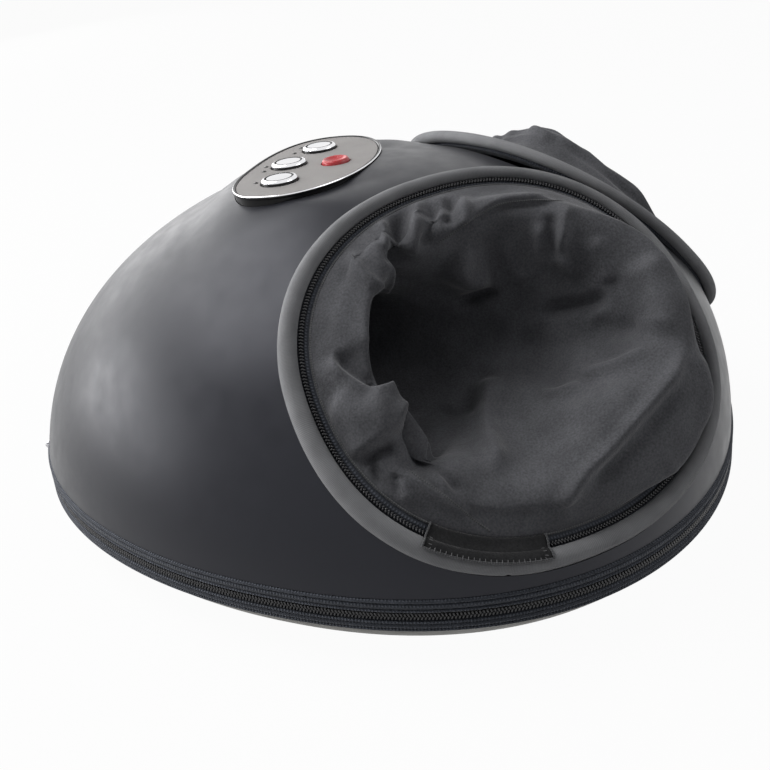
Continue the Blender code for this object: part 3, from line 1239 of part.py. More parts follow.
def make_base_slider():
    """Slider on the base zipper with two ears and a pin, and the pull that hangs from it."""
    half = KNUCKLE_LENGTH / 2.0 + FIT
    ear = SLIDER_EAR
    out = pull_pin_out()
    body = box("slider_body", (SLIDER_LENGTH, SLIDER_THICKNESS, SLIDER_WIDTH),
               (0.0, SLIDER_THICKNESS / 2.0, 0.0), collection=CUTTERS, bevel=SLIDER_THICKNESS * 0.3)
    extras = [rod("pin", PULL_PIN, half * 2.0 + ear, (0.0, out, 0.0), "X", sides=8, collection=CUTTERS)]
    for end in (-1.0, 1.0):
        reach = out + PULL_PIN - SLIDER_THICKNESS / 2.0
        extras.append(box("ear", (ear, reach, PULL_PIN * 3.0),
                          (end * (half + ear / 2.0), SLIDER_THICKNESS / 2.0 + reach / 2.0, 0.0),
                          collection=CUTTERS))
    frame = slider_frame()
    slider = place("base_zipper_slider", joined_mesh("base_zipper_slider", body, extras), STEEL)
    slider.matrix_world = frame
    knuckle = rod("knuckle", PULL_KNUCKLE, KNUCKLE_LENGTH, (0.0, 0.0, 0.0), "X", sides=10,
                  collection=CUTTERS)
    neck = box("neck", (KNUCKLE_LENGTH, PULL_THICKNESS, PULL_NECK), (0.0, 0.0, -PULL_NECK / 2.0),
               collection=CUTTERS)
    tab_top = -PULL_NECK + PULL_THICKNESS / 2.0
    tab = box("tab", (PULL_WIDTH, PULL_THICKNESS, PULL_LENGTH), (0.0, 0.0, tab_top - PULL_LENGTH / 2.0),
              collection=CUTTERS)
    bore = rod("pull_bore", PULL_PIN + FIT, KNUCKLE_LENGTH * 2.0, (0.0, 0.0, 0.0), "X", sides=8,
               collection=CUTTERS)
    hole = rod("pull_hole", PULL_HOLE, PULL_THICKNESS * 3.0,
               (0.0, 0.0, tab_top - PULL_LENGTH + PULL_HOLE * 2.0), "Y", sides=10, collection=CUTTERS)
    pull = place("base_zipper_pull", joined_mesh("base_zipper_pull", knuckle, [neck, tab], [bore, hole]),
                 STEEL)
    pull.matrix_world = frame @ Matrix.Translation((0.0, out, 0.0))


def build():
    make_dome_shell()
    make_tray()
    make_feet()
    make_band()
    for label, side in SIDES.items():
        make_ring(label, side)
        make_flap(label, side)
        make_liner(label, side)
        make_gear_case(label, side)
        make_bush(label, side)
        make_worm_wheel(label, side)
        make_foot_bed(label, side)
        make_air_bag(label, side)
        for position, index in (("front", -1), ("middle", 0), ("back", 1)):
            make_kneading_unit(label, side, position, index)
    make_panel()
    make_worm_shaft()
    make_motor()
    make_air_supply()
    make_base_slider()
    for label, side in SIDES.items():
        make_air_hose(label, side)
    for item in list(CUTTERS.objects):
        bpy.data.objects.remove(item, do_unlink=True)


clear_scene()
PARTS = make_collection("shiatsu_foot_massager")
CUTTERS = make_collection("cutters")
build()
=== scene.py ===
"""Looks of the shiatsu foot massager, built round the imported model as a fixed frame.

Units are metres in the model's frame: +Z is up and the user stands at -Y.
"""

import json
import math

import bmesh
import bpy
import numpy as np
from mathutils import Matrix, Vector, noise
from mathutils.bvhtree import BVHTree

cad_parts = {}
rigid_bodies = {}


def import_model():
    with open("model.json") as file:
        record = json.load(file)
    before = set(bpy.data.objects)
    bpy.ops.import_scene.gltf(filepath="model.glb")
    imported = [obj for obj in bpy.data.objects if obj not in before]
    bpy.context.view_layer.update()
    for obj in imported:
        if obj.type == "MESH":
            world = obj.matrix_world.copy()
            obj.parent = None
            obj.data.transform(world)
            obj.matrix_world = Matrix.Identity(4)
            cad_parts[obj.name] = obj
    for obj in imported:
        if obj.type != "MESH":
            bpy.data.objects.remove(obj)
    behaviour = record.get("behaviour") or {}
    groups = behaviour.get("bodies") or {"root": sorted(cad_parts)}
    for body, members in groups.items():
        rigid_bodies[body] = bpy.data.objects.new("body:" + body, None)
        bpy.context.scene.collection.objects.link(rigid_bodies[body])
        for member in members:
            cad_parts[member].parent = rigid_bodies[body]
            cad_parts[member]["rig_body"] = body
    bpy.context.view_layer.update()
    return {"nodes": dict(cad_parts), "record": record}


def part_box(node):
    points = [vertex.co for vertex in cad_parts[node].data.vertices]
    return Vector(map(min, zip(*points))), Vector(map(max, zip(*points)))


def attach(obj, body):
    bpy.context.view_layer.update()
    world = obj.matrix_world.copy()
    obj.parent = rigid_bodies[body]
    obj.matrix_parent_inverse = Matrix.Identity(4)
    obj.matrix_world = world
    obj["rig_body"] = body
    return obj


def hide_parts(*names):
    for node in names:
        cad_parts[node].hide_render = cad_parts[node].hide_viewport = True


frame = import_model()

TAU = 2.0 * math.pi
SIDES = {"left": -1.0, "right": 1.0}
BODIES = {name: node.get("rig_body") for name, node in frame["nodes"].items()}
LOOKS = {}

# Camera of the photograph
CAMERA_PLACE = (-0.5605, -0.1845, 0.3457)
CAMERA_RIGHT = (0.2606, -0.9612, -0.0904)
CAMERA_UP = (0.4569, 0.0403, 0.8886)
CAMERA_BACK = (-0.8505, -0.2729, 0.4497)
CAMERA_LENS = 46.95
CAMERA_SENSOR = 36.0
IMAGE_SIZE = 770.0
FOCUS = CAMERA_LENS / CAMERA_SENSOR * IMAGE_SIZE

# Dome, repeated from the model's source
DOME_HALF_WIDTH = 0.200
DOME_HALF_DEPTH = 0.222
DOME_HEIGHT = 0.1985
DOME_EQUATOR = 0.0143
DOME_EDGE = 0.0393
DOME_BELOW = 0.004
DOME_WALL = 0.0032
DOME_LEAN = -0.097
DOME_TAPER = -0.124
PLAN_POWER = 2.15
RISE_POWER = 2.12
FIT = 0.0003

# Rings, zippers and flaps. Degrees start at a ring's inner end; FLAP_START and FLAP_END are round its tube.
RING_CENTRE = (0.10413, -0.10224, 0.12302)
RING_AZIMUTH = math.radians(54.0)
RING_ELEVATION = math.radians(44.0)
RING_ROLL = math.radians(5.3)
RING_SHIFT = 0.0025
RING_HALF_LENGTH = 0.1110
RING_HALF_HEIGHT = 0.1028
RING_POWER = 2.18
RING_TUBE = 0.0054
SEAT_ABOVE = 0.0600
SEAT_BELOW = 0.0250
ZIP_WIDTH = 0.0060
ZIP_NARROW = 0.0024
ZIP_PITCH = 0.0017
# Profile of the zipper: share of its width from the ring, or below 0 metres under the ring, and height
ZIP_PROFILE = ((-0.0006, -0.0042), (-0.0006, -0.0006), (0.10, -0.0008), (0.44, -0.0011), (0.52, -0.0004),
               (0.66, 0.0001), (0.80, -0.0002), (1.0, 0.0001), (1.0, -0.0042))
ZIP_TOOTH = (0.0010, 0.00062, 0.00095)
TOOTH_TILT = 0.35
TOOTH_RISE = 0.0003
RING_SEAM = 247.0
SEAM_BREADTH = 0.005
RING_DENT = 0.0005
RING_UNEVEN = 0.025
FLAP_FROM = 223.0
FLAP_TO = 258.0
FLAP_START = 158.0
FLAP_END = 84.0
FLAP_OVERHANG = 0.0010
FLAP_EDGE = ((0.0, 0.0016), (0.0020, 0.0024))
FLAP_THICKNESS = 0.0012
FLAP_LOWEST = 0.0022
STITCH = (0.0010, 0.00022, 0.00026)
STITCH_PITCH = 0.0026
STITCH_RISE = 0.0013
HEM_RADIUS = 0.0005
HEM_RISE = 0.0006
RING_THIN = 0.42
THIN_SIDE = math.radians(38.0)

# Base band and tray
TAPE_THICKNESS = 0.0017
TAPE_FACE = -0.0003
COIL_FACE = -0.0008
BASE_PITCH = 0.0018
BASE_TOOTH = (0.00125, 0.00072, 0.00095)
TAPE_BOTTOM = 0.0317
COIL_BOTTOM = 0.0272
PIPING_BOTTOM = 0.0206
# Outer side of the two tapes, from the bottom up: a cord, the flat of the weave and a cord
BRAID = ((-0.0002, 0.0), (0.0008, 0.0002), (0.0013, 0.0009), (0.0008, 0.0016), (0.0, 0.0018), (0.0, 0.0020),
         (0.0008, 0.0023), (0.0011, 0.0036), (0.0008, 0.0049), (0.0, 0.0052), (0.0, 0.0054), (0.0008, 0.0056),
         (0.0012, 0.0062), (0.0008, 0.0069), (-0.0001, 0.0071))
TRAY_BOTTOM = 0.0059
TRAY_FLOOR = 0.0030
TRAY_WALL = 0.0030
TRAY_STEP = 0.0200
TRAY_INSET = 0.0126
TRAY_LIP = 0.0010
TRAY_ROUNDING = 0.0016

# Panel
PANEL_PLACE = (0.0, 0.0382, 0.1965)
PANEL_TILT = math.radians(-3.0)
PANEL_HALF_WIDTH = 0.0670
PANEL_BACK = 0.0280
PANEL_FRONT = 0.0510
PANEL_WAIST = -0.0080
PANEL_POWERS = (2.5, 2.0)
PANEL_SIDE_SHOWN = 0.0034
PANEL_LAND_RISE = 0.0060
PANEL_LAND_REACH = 0.9
CHROME_RADIUS = 0.0108
POWER_RADIUS = 0.0084
CHROME_SPACING = 0.0360
CHROME_SIDE_Y = -0.0040
CHROME_MIDDLE_Y = 0.0035
POWER_Y = -0.0265
LENS_RADIUS = 0.0013
BUTTONS = (("chrome_button_left", -CHROME_SPACING, CHROME_SIDE_Y, CHROME_RADIUS),
           ("chrome_button_middle", 0.0, CHROME_MIDDLE_Y, CHROME_RADIUS),
           ("chrome_button_right", CHROME_SPACING, CHROME_SIDE_Y, CHROME_RADIUS),
           ("power_button", 0.0, POWER_Y, POWER_RADIUS))
PANEL_WALL = -0.0019
PANEL_FALL = 0.0009
WINDOW_OVERLAP = 0.0008
REBATE_FLOOR = -0.0019
PLATE_THICKNESS = 0.0014
PLATE_ROUNDING = 0.0002
BUTTON_GAP = 0.0008
LENS_HOLE = 0.0018
# Caps of the buttons and lenses: share of the radius, or metres for a lens, and height
CHROME_FACE = ((0.0, 0.0026), (0.30, 0.0026), (0.55, 0.0026), (0.68, 0.0027), (0.72, 0.0021), (0.77, 0.0021),
               (0.80, 0.0028), (0.88, 0.0027), (0.94, 0.0022), (0.97, 0.0014), (1.0, 0.0009), (1.0, -0.0036),
               (0.42, -0.0036), (0.42, -0.0060), (0.0, -0.0060))
POWER_FACE = ((0.0, 0.0004), (0.30, 0.0006), (0.52, 0.0011), (0.68, 0.0018), (0.78, 0.0023), (0.86, 0.0023),
              (0.94, 0.0017), (0.985, 0.0006), (1.0, -0.0006), (1.0, -0.0036), (0.5, -0.0036), (0.5, -0.0060),
              (0.0, -0.0060))
LENS_FACE = ((0.0, 0.0007), (0.0007, 0.0006), (0.0012, 0.0003), (0.0014, -0.0002), (0.0014, -0.0024),
             (0.0, -0.0024))

# Liners
THROAT = (0.0960, 0.0074, 0.1240)
THROAT_HALF = (0.0460, 0.0360)
TOE = (0.0840, 0.1004, 0.1130)
TOE_HALF = (0.0380, 0.0250)
TOE_DEPTH = 0.0140
HEAD_X = 0.1000
HEAD_MIDDLE_Y = -0.0106
HEAD_SPACING = 0.0720
HEAD_REACH = 0.0410
HEAD_LOWEST = 0.0842
HEAD_SLOPE = 1.5
LINER_AROUND = 384
LINER_THICKNESS = 0.0016
LINER_GAP = 0.0006
LINER_START = (-0.0031, 0.0005)
BINDING_RADIUS = 0.0007
SEAM_RADIUS = 0.0005


def power_circle(angle, power):
    c, s = np.cos(angle), np.sin(angle)
    return np.sign(c) * np.abs(c) ** (2.0 / power), np.sign(s) * np.abs(s) ** (2.0 / power)


def turns(count):
    """Even angles round a circle."""
    return np.arange(count) * TAU / count


def smoothstep(value):
    value = np.clip(value, 0.0, 1.0)
    return value * value * (3.0 - 2.0 * value)


def stack(x, y, z):
    return np.stack(np.broadcast_arrays(x, y, z), axis=-1)


def placed(points, matrix):
    place = np.array(matrix)
    return points @ place[:3, :3].T + place[:3, 3]


def dome_share(z):
    rise = np.clip((z - DOME_EQUATOR) / (DOME_HEIGHT - DOME_EQUATOR), 0.0, 1.0)
    return (1.0 - rise ** RISE_POWER) ** (1.0 / RISE_POWER)


def dome_point(angle, rho, z, offset=0.0):
    c, s = power_circle(angle, PLAN_POWER)
    taper = 1.0 + DOME_TAPER * rho * s
    x = (DOME_HALF_WIDTH * rho + offset) * c * taper
    y = (DOME_HALF_DEPTH * rho + offset) * s + DOME_LEAN * (z - DOME_EDGE)
    return stack(x, y, z)


def base_point(angle, z, offset=0.0):
    point = dome_point(angle, dome_share(DOME_EDGE), DOME_EDGE, offset)
    return stack(point[..., 0], point[..., 1], z)


def panel_frame():
    return Matrix.Translation(PANEL_PLACE) @ Matrix.Rotation(PANEL_TILT, 4, "X")


def panel_outline(offset, height, count):
    points = []
    for i in range(count):
        angle = TAU * i / count
        back = math.sin(angle) > 0.0
        c, s = power_circle(angle, PANEL_POWERS[0] if back else PANEL_POWERS[1])
        depth = PANEL_BACK - PANEL_WAIST if back else PANEL_FRONT + PANEL_WAIST
        points.append(Vector(((PANEL_HALF_WIDTH + offset) * c, PANEL_WAIST + (depth + offset) * s, height)))
    return points


def panel_land(points):
    """Lift the dome near the panel, as the model does."""
    local = placed(points, panel_frame().inverted())
    depth = np.where(local[..., 1] < PANEL_WAIST, PANEL_FRONT + PANEL_WAIST, PANEL_BACK - PANEL_WAIST)
    reach = np.hypot(local[..., 0] / PANEL_HALF_WIDTH, (local[..., 1] - PANEL_WAIST) / depth)
    lift = np.clip(-local[..., 2] - PANEL_SIDE_SHOWN, 0.0, PANEL_LAND_RISE)
    lifted = points.copy()
    lifted[..., 2] += lift * (1.0 - smoothstep((reach - 1.0) / PANEL_LAND_REACH))
    return lifted


def ring_axes(side):
    sin_a, cos_a = math.sin(RING_AZIMUTH), math.cos(RING_AZIMUTH)
    sin_e, cos_e = math.sin(RING_ELEVATION), math.cos(RING_ELEVATION)
    normal = np.array((-sin_a * cos_e, -cos_a * cos_e, sin_e))
    level = np.array((cos_a, -sin_a, 0.0))
    rise = np.array((sin_a * sin_e, cos_a * sin_e, cos_e))
    along = level * math.cos(RING_ROLL) + rise * math.sin(RING_ROLL)
    up = rise * math.cos(RING_ROLL) - level * math.sin(RING_ROLL)
    centre = np.array((-RING_CENTRE[0], RING_CENTRE[1], RING_CENTRE[2]))
    flip = np.array((-side, 1.0, 1.0))
    return along * flip, up * flip, normal * flip, centre * flip


def ring_point(side, angle, offset=0.0, height=0.0):
    along, up, normal, centre = ring_axes(side)
    c, s = power_circle(angle, RING_POWER)
    c = np.asarray(c * (RING_HALF_LENGTH + offset) + RING_SHIFT)[..., None]
    s = np.asarray(s * (RING_HALF_HEIGHT + offset))[..., None]
    return centre + along * c + up * s + normal * np.asarray(height)[..., None]


def on_ring_plane(side, points):
    """Points given along, up and out of a ring's plane, in the model's frame."""
    along, up, normal, centre = ring_axes(side)
    return centre + points[..., :1] * along + points[..., 1:2] * up + points[..., 2:] * normal


def in_photo(points):
    """Pixel place of points in the photograph's frame."""
    offset = points - np.array(CAMERA_PLACE)
    depth = -(offset @ np.array(CAMERA_BACK))
    x = IMAGE_SIZE / 2.0 + FOCUS * (offset @ np.array(CAMERA_RIGHT)) / depth
    y = IMAGE_SIZE / 2.0 - FOCUS * (offset @ np.array(CAMERA_UP)) / depth
    return x, y


# Meshes


def add_object(name, data):
    item = bpy.data.objects.new(name, data)
    bpy.context.scene.collection.objects.link(item)
    return item


def shade(mesh, sharp):
    mesh.shade_smooth()
    mesh.set_sharp_from_angle(angle=math.radians(sharp))


def make_piece(name, verts, faces, look, body="root", smooth=True, sharp=40.0, uv=None):
    mesh = bpy.data.meshes.new(name)
    mesh.from_pydata([tuple(v) for v in verts], [], [tuple(f) for f in faces])
    mesh.update()
    for item in look if isinstance(look, list) else [look]:
        mesh.materials.append(item)
    if smooth:
        shade(mesh, sharp)
    if uv is not None:
        layer = mesh.uv_layers.new(name="Cloth")
        index = np.zeros(len(mesh.loops), np.int32)
        mesh.loops.foreach_get("vertex_index", index)
        layer.data.foreach_set("uv", np.asarray(uv, np.float32)[index].ravel())
    item = add_object(name, mesh)
    if body:
        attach(item, body)
    return item


def grid_faces(rows, columns, close_rows=False, close_columns=True):
    faces = []
    for r in range(rows if close_rows else rows - 1):
        r2 = (r + 1) % rows
        for c in range(columns if close_columns else columns - 1):
            c2 = (c + 1) % columns
            faces.append((r * columns + c, r * columns + c2, r2 * columns + c2, r2 * columns + c))
    return faces


def circle(x, y, radius, steps):
    return [(x + radius * math.cos(a), y + radius * math.sin(a)) for a in turns(steps)]


def square(half):
    return [(-half, -half, 0.0), (half, -half, 0.0), (half, half, 0.0), (-half, half, 0.0)]


def grid_uv(points):
    """Distances along and across a grid, in metres."""
    across = np.linalg.norm(np.diff(points, axis=0), axis=-1).mean(axis=1)
    along = np.linalg.norm(np.roll(points, -1, axis=1) - points, axis=-1).mean(axis=0)
    v = np.concatenate([[0.0], np.cumsum(across)])
    u = np.concatenate([[0.0], np.cumsum(along)[:-1]])
    return np.stack(np.meshgrid(u, v), axis=-1).reshape(-1, 2)


def grid_piece(name, points, look, close_rows=False, close_columns=True, **options):
    rows, columns = points.shape[:2]
    faces = grid_faces(rows, columns, close_rows, close_columns)
    options.setdefault("uv", grid_uv(points))
    return make_piece(name, points.reshape(-1, 3), faces, look, **options)


def turned_piece(name, profile, look, matrix, steps=48, **options):
    """Turn a profile of (radius, height) pairs about Z; ends at radius 0 close to a tip."""
    turn = turns(steps)
    rows = np.array([[(r * math.cos(a), r * math.sin(a), h) for a in turn] for r, h in profile])
    verts = placed(rows.reshape(-1, 3), matrix)
    item = make_piece(name, verts, grid_faces(len(profile), steps), look, uv=grid_uv(rows), **options)
    tidy(item)
    return item


def tidy(item, distance=1e-6):
    bm = bmesh.new()
    bm.from_mesh(item.data)
    bmesh.ops.remove_doubles(bm, verts=bm.verts, dist=distance)
    bmesh.ops.dissolve_degenerate(bm, dist=distance / 10.0, edges=bm.edges)
    bmesh.ops.recalc_face_normals(bm, faces=bm.faces)
    bm.to_mesh(item.data)
    bm.free()


def evaluated(item):
    bpy.context.view_layer.update()
    graph = bpy.context.evaluated_depsgraph_get()
    return bpy.data.meshes.new_from_object(item.evaluated_get(graph))


def settle(item):
    """Swap an object's mesh for its evaluated form."""
    mesh = evaluated(item)
    item.modifiers.clear()
    item.data = mesh


def thicken(item, thickness, offset, even=False):
    wall = item.modifiers.new("Wall", "SOLIDIFY")
    wall.thickness = thickness
    wall.offset = offset
    wall.use_even_offset = even
    settle(item)


def helper(name, points, direction):
    """A prism that cuts another piece, from a closed outline of points."""
    count = len(points)
    verts = [Vector(p) for p in points] + [Vector(p) + direction for p in points]
    faces = grid_faces(2, count) + [tuple(range(count))[::-1], tuple(range(count, 2 * count))]
    item = make_piece(name, verts, faces, [], body=None, smooth=False)
    tidy(item)
    return item


def cut(item, cutters):
    for cutter in cutters:
        modifier = item.modifiers.new(cutter.name, "BOOLEAN")
        modifier.operation = "DIFFERENCE"
        modifier.solver = "EXACT"
        modifier.object = cutter
    settle(item)
    for cutter in cutters:
        bpy.data.objects.remove(cutter, do_unlink=True)


def frames_along(points, outwards, closed=True):
    """Unit run, out and side directions of a path of points."""
    run = np.roll(points, -1, axis=0) - np.roll(points, 1, axis=0)
    if not closed:
        run[0] = points[1] - points[0]
        run[-1] = points[-1] - points[-2]
    run /= np.linalg.norm(run, axis=-1, keepdims=True)
    out = outwards - run * np.sum(outwards * run, axis=-1, keepdims=True)
    out /= np.linalg.norm(out, axis=-1, keepdims=True)
    return run, out, np.cross(run, out)


def spaced(points, pitch, closed=True):
    """Points at even arc lengths along a path."""
    path = np.concatenate([points, points[:1]]) if closed else points
    length = np.concatenate([[0.0], np.cumsum(np.linalg.norm(np.diff(path, axis=0), axis=-1))])
    count = max(2, int(round(length[-1] / pitch)))
    at = np.linspace(0.0, length[-1], count, endpoint=not closed)
    return np.stack([np.interp(at, length, path[:, i]) for i in range(3)], axis=-1)


def beads(name, centres, frames, size, look, tilt=0.0):
    """Many small capsules: size is half length along side, half width along run, half height along out."""
    run, out, side = frames
    ring = turns(6)
    shape = [(-1.0, 0.0, 0.0)]
    shape += [(end, 0.85 * math.cos(a), 0.85 * math.sin(a)) for end in (-0.62, 0.62) for a in ring]
    shape += [(1.0, 0.0, 0.0)]
    shape = np.array(shape) * np.array(size)
    faces = [(0, 1 + (i + 1) % 6, 1 + i) for i in range(6)]
    faces += [(1 + i, 1 + (i + 1) % 6, 7 + (i + 1) % 6, 7 + i) for i in range(6)]
    faces += [(13, 7 + i, 7 + (i + 1) % 6) for i in range(6)]
    c, s = math.cos(tilt), math.sin(tilt)
    axes = (side * c + run * s, run * c - side * s, out)
    verts = centres[:, None]
    for i, axis in enumerate(axes):
        verts = verts + shape[None, :, i, None] * axis[:, None]
    count = len(shape)
    every = [tuple(v + k * count for v in f) for k in range(len(centres)) for f in faces]
    return make_piece(name, verts.reshape(-1, 3), every, look, sharp=80.0)


def round_path(path, radius, sides, out, up):
    """Circles of points round a path; radius is one number or one for each point."""
    turn = turns(sides)
    return path[:, None] + radius * (np.cos(turn)[None, :, None] * out[:, None]
                                     + np.sin(turn)[None, :, None] * up[:, None])


def tube(name, points, radius, look, outwards, body="root", closed=True, sides=8):
    _, out, side = frames_along(points, outwards, closed)
    ring = round_path(points, radius, sides, out, side)
    if not closed:
        ring = np.concatenate([points[:1, None].repeat(sides, 1), ring, points[-1:, None].repeat(sides, 1)])
    return grid_piece(name, ring, look, close_rows=closed, body=body, sharp=60.0)


def moved_on(path, share):
    """Points of a closed path, moved on by a share of the way to the next one."""
    return path + (np.roll(path, -1, axis=0) - path) * share


def make_teeth(name, path, outwards, size, tilt):
    teeth = beads(name, path, frames_along(path, outwards), size, COIL, tilt=tilt)


# Materials


def add_node(tree, kind, inputs=None, **settings):
    """A node with its settings; inputs holds values, and sockets to link from."""
    node = tree.nodes.new("ShaderNode" + kind)
    for key, value in settings.items():
        setattr(node, key, value)
    for key, value in (inputs or {}).items():
        if isinstance(value, bpy.types.NodeSocket):
            tree.links.new(value, node.inputs[key])
        else:
            node.inputs[key].default_value = value
    return node


class Look:
    """A Principled material with procedural layers on its colour, roughness and normal."""

    def __init__(self, name, colour, roughness, metallic=0.0, **sockets):
        self.material = LOOKS[name] = bpy.data.materials.new(name)
        self.material.use_nodes = True
        self.tree = self.material.node_tree
        self.shader = self.tree.nodes["Principled BSDF"]
        self.colour = (*colour, 1.0)
        self.shader.inputs["Base Color"].default_value = self.colour
        self.shader.inputs["Roughness"].default_value = roughness
        self.shader.inputs["Metallic"].default_value = metallic
        for key, value in sockets.items():
            self.shader.inputs[key.replace("_", " ")].default_value = value
        self.places = add_node(self.tree, "TexCoord").outputs
        self.normal = None

    def noise(self, size, detail=3.0, stretch=(1.0, 1.0, 1.0)):
        mapping = add_node(self.tree, "Mapping", {"Scale": stretch, "Vector": self.places["Object"]})
        inputs = {"Scale": 1.0 / size, "Detail": detail, "Vector": mapping.outputs["Vector"]}
        return add_node(self.tree, "TexNoise", inputs).outputs["Fac"]

    def weave(self, thread, other, distortions=(0.0, 0.0)):
        """Crossing threads: the product of bands along and across the cloth."""
        bands = []
        for size, axis, distortion in zip((thread, other), "XY", distortions):
            inputs = {"Scale": TAU / (size * 20.0), "Distortion": distortion, "Vector": self.places["UV"]}
            node = add_node(self.tree, "TexWave", inputs, wave_type="BANDS", bands_direction=axis)
            bands.append(node.outputs["Fac"])
        return add_node(self.tree, "Math", dict(enumerate(bands)), operation="MULTIPLY").outputs[0]

    def spread(self, factor, low=0.0, high=1.0):
        """Stretch the middle of a factor's range to two limits."""
        inputs = {"From Min": 0.3, "From Max": 0.7, "To Min": low, "To Max": high, "Value": factor}
        return add_node(self.tree, "MapRange", inputs).outputs["Result"]

    def mottle(self, factor, low, high):
        """Vary the colour between two shares of it by a factor."""
        inputs = {"A": (low, low, low, 1.0), "B": (high, high, high, 1.0), "Factor": self.spread(factor)}
        share = add_node(self.tree, "Mix", inputs, data_type="RGBA").outputs["Result"]
        inputs = {"A": self.colour, "B": share, "Factor": 1.0}
        mix = add_node(self.tree, "Mix", inputs, data_type="RGBA", blend_type="MULTIPLY")
        self.colour = mix.outputs["Result"]
        self.tree.links.new(self.colour, self.shader.inputs["Base Color"])

    def vary(self, factor, low, high):
        self.tree.links.new(self.spread(factor, low, high), self.shader.inputs["Roughness"])

    def bump(self, factor, distance, strength=1.0):
        inputs = {"Distance": distance, "Strength": strength, "Height": factor}
        if self.normal is not None:
            inputs["Normal"] = self.normal
        self.normal = add_node(self.tree, "Bump", inputs).outputs["Normal"]
        self.tree.links.new(self.normal, self.shader.inputs["Normal"])


def plastic(name, colour, roughness, grain=0.0006, depth=0.00002, **sockets):
    look = Look(name, colour, roughness, **sockets)
    look.mottle(look.noise(0.03, 4.0), 0.93, 1.07)
    look.vary(look.noise(0.012, 5.0), roughness * 0.88, min(1.0, roughness * 1.14))
    look.bump(look.noise(grain, 2.0), depth)
    return look.material


def brushed(name, colour, roughness, scratch=0.0008):
    look = Look(name, colour, roughness, 1.0)
    look.mottle(look.noise(0.02), 0.94, 1.05)
    look.vary(look.noise(scratch, 4.0), roughness * 0.7, roughness * 1.35)
    look.bump(look.noise(scratch, 4.0), 0.000008)
    return look.material


def woven(name, colour, thread, depth=0.00012):
    """Tape cloth: fine ribs across the run crossed by warp threads."""
    look = Look(name, colour, 0.8, Sheen_Weight=0.15, Specular_IOR_Level=0.2)
    weave = look.weave(thread, thread * 1.4)
    look.mottle(weave, 0.6, 1.25)
    look.mottle(look.noise(0.006, 4.0), 0.85, 1.15)
    look.vary(look.noise(0.002), 0.72, 0.88)
    look.bump(weave, depth)
    look.bump(look.noise(0.0007), 0.00006)
    return look.material


def knit(name, colour, stitch, depth):
    """Ring cloth: rows of small loops."""
    look = Look(name, colour, 0.85, Sheen_Weight=0.12, Sheen_Roughness=0.4, Specular_IOR_Level=0.05)
    loops = look.weave(stitch, stitch * 0.8, (0.6, 0.4))
    look.mottle(loops, 0.78, 1.15)
    look.mottle(look.noise(0.012, 4.0), 0.9, 1.1)
    look.vary(look.noise(0.003), 0.765, 0.935)
    look.bump(loops, depth)
    look.bump(look.noise(0.0008), 0.00010)
    return look.material


def fleece(name, colour):
    """Short-napped cloth with fibres that catch the light."""
    look = Look(name, colour, 0.9, Sheen_Weight=0.30, Sheen_Roughness=0.35, Specular_IOR_Level=0.10)
    look.mottle(look.noise(0.0011, 5.0), 0.78, 1.24)
    look.mottle(look.noise(0.018, 4.0), 0.85, 1.15)
    look.vary(look.noise(0.004), 0.8, 1.0)
    look.bump(look.noise(0.0009, 4.0), 0.00028)
    look.bump(look.noise(0.006), 0.0007, 0.6)
    return look.material


def painted(name, colour):
    """Painted metal with fine lines along the panel."""
    look = Look(name, colour, 0.6, Specular_IOR_Level=0.15)
    look.mottle(look.noise(0.02, 4.0), 0.94, 1.05)
    look.vary(look.noise(0.0012, 4.0, (1.0, 12.0, 1.0)), 0.5, 0.7)
    look.bump(look.noise(0.0010, 4.0, (1.0, 12.0, 1.0)), 0.00001)
    return look.material


SATIN = plastic("satin_shell", (0.0115, 0.0122, 0.0165), 0.36, depth=0.000012, Specular_IOR_Level=0.30,
                Specular_Tint=(0.90, 0.91, 1.0, 1.0), Sheen_Weight=0.12, Sheen_Roughness=0.35)
TRAY = plastic("tray_plastic", (0.14, 0.135, 0.122), 0.55, grain=0.0008, depth=0.00005)
TAPE = woven("zipper_tape", (0.085, 0.093, 0.113), 0.0017, depth=0.00035)
COIL = plastic("zipper_coil", (0.018, 0.018, 0.021), 0.33, grain=0.0005)
CHROME = brushed("chrome_trim", (0.82, 0.82, 0.84), 0.07, scratch=0.002)
PLATE = painted("panel_plate", (0.325, 0.312, 0.305))
LENS = plastic("smoked_lens", (0.012, 0.012, 0.013), 0.12, grain=0.002, depth=0.000004)
RED = plastic("red_button", (0.52, 0.022, 0.030), 0.28, grain=0.001, depth=0.00001)
RUBBER = plastic("foot_rubber", (0.020, 0.020, 0.020), 0.85, grain=0.0005, depth=0.00006)
# Glossy black of the bezel frame; the chrome buttons also use it as painted shade in their groove and side.
BLACK_GLOSS_AND_RIM_SHADE = plastic("bezel_gloss", (0.010, 0.010, 0.011), 0.14, grain=0.002, depth=0.000003,
                Specular_IOR_Level=0.15)
RING_CLOTH = knit("ring_fabric", (0.32, 0.322, 0.332), 0.0007, depth=0.00008)
LINER_CLOTH = fleece("liner_fabric", (0.120, 0.121, 0.130))
# Painted shade: the flaps take the liner's fleece at a quarter of its colour, a darker copy that stands for
# the shade they lie in.
FLAP_CLOTH_PAINTED_SHADE = fleece("flap_fabric_painted_shade", (0.030, 0.030, 0.031))
LINER_EDGE = woven("liner_binding", (0.16, 0.162, 0.168), 0.0009)
THREAD = plastic("sewing_thread", (0.16, 0.16, 0.165), 0.7, grain=0.0004, depth=0.00008)

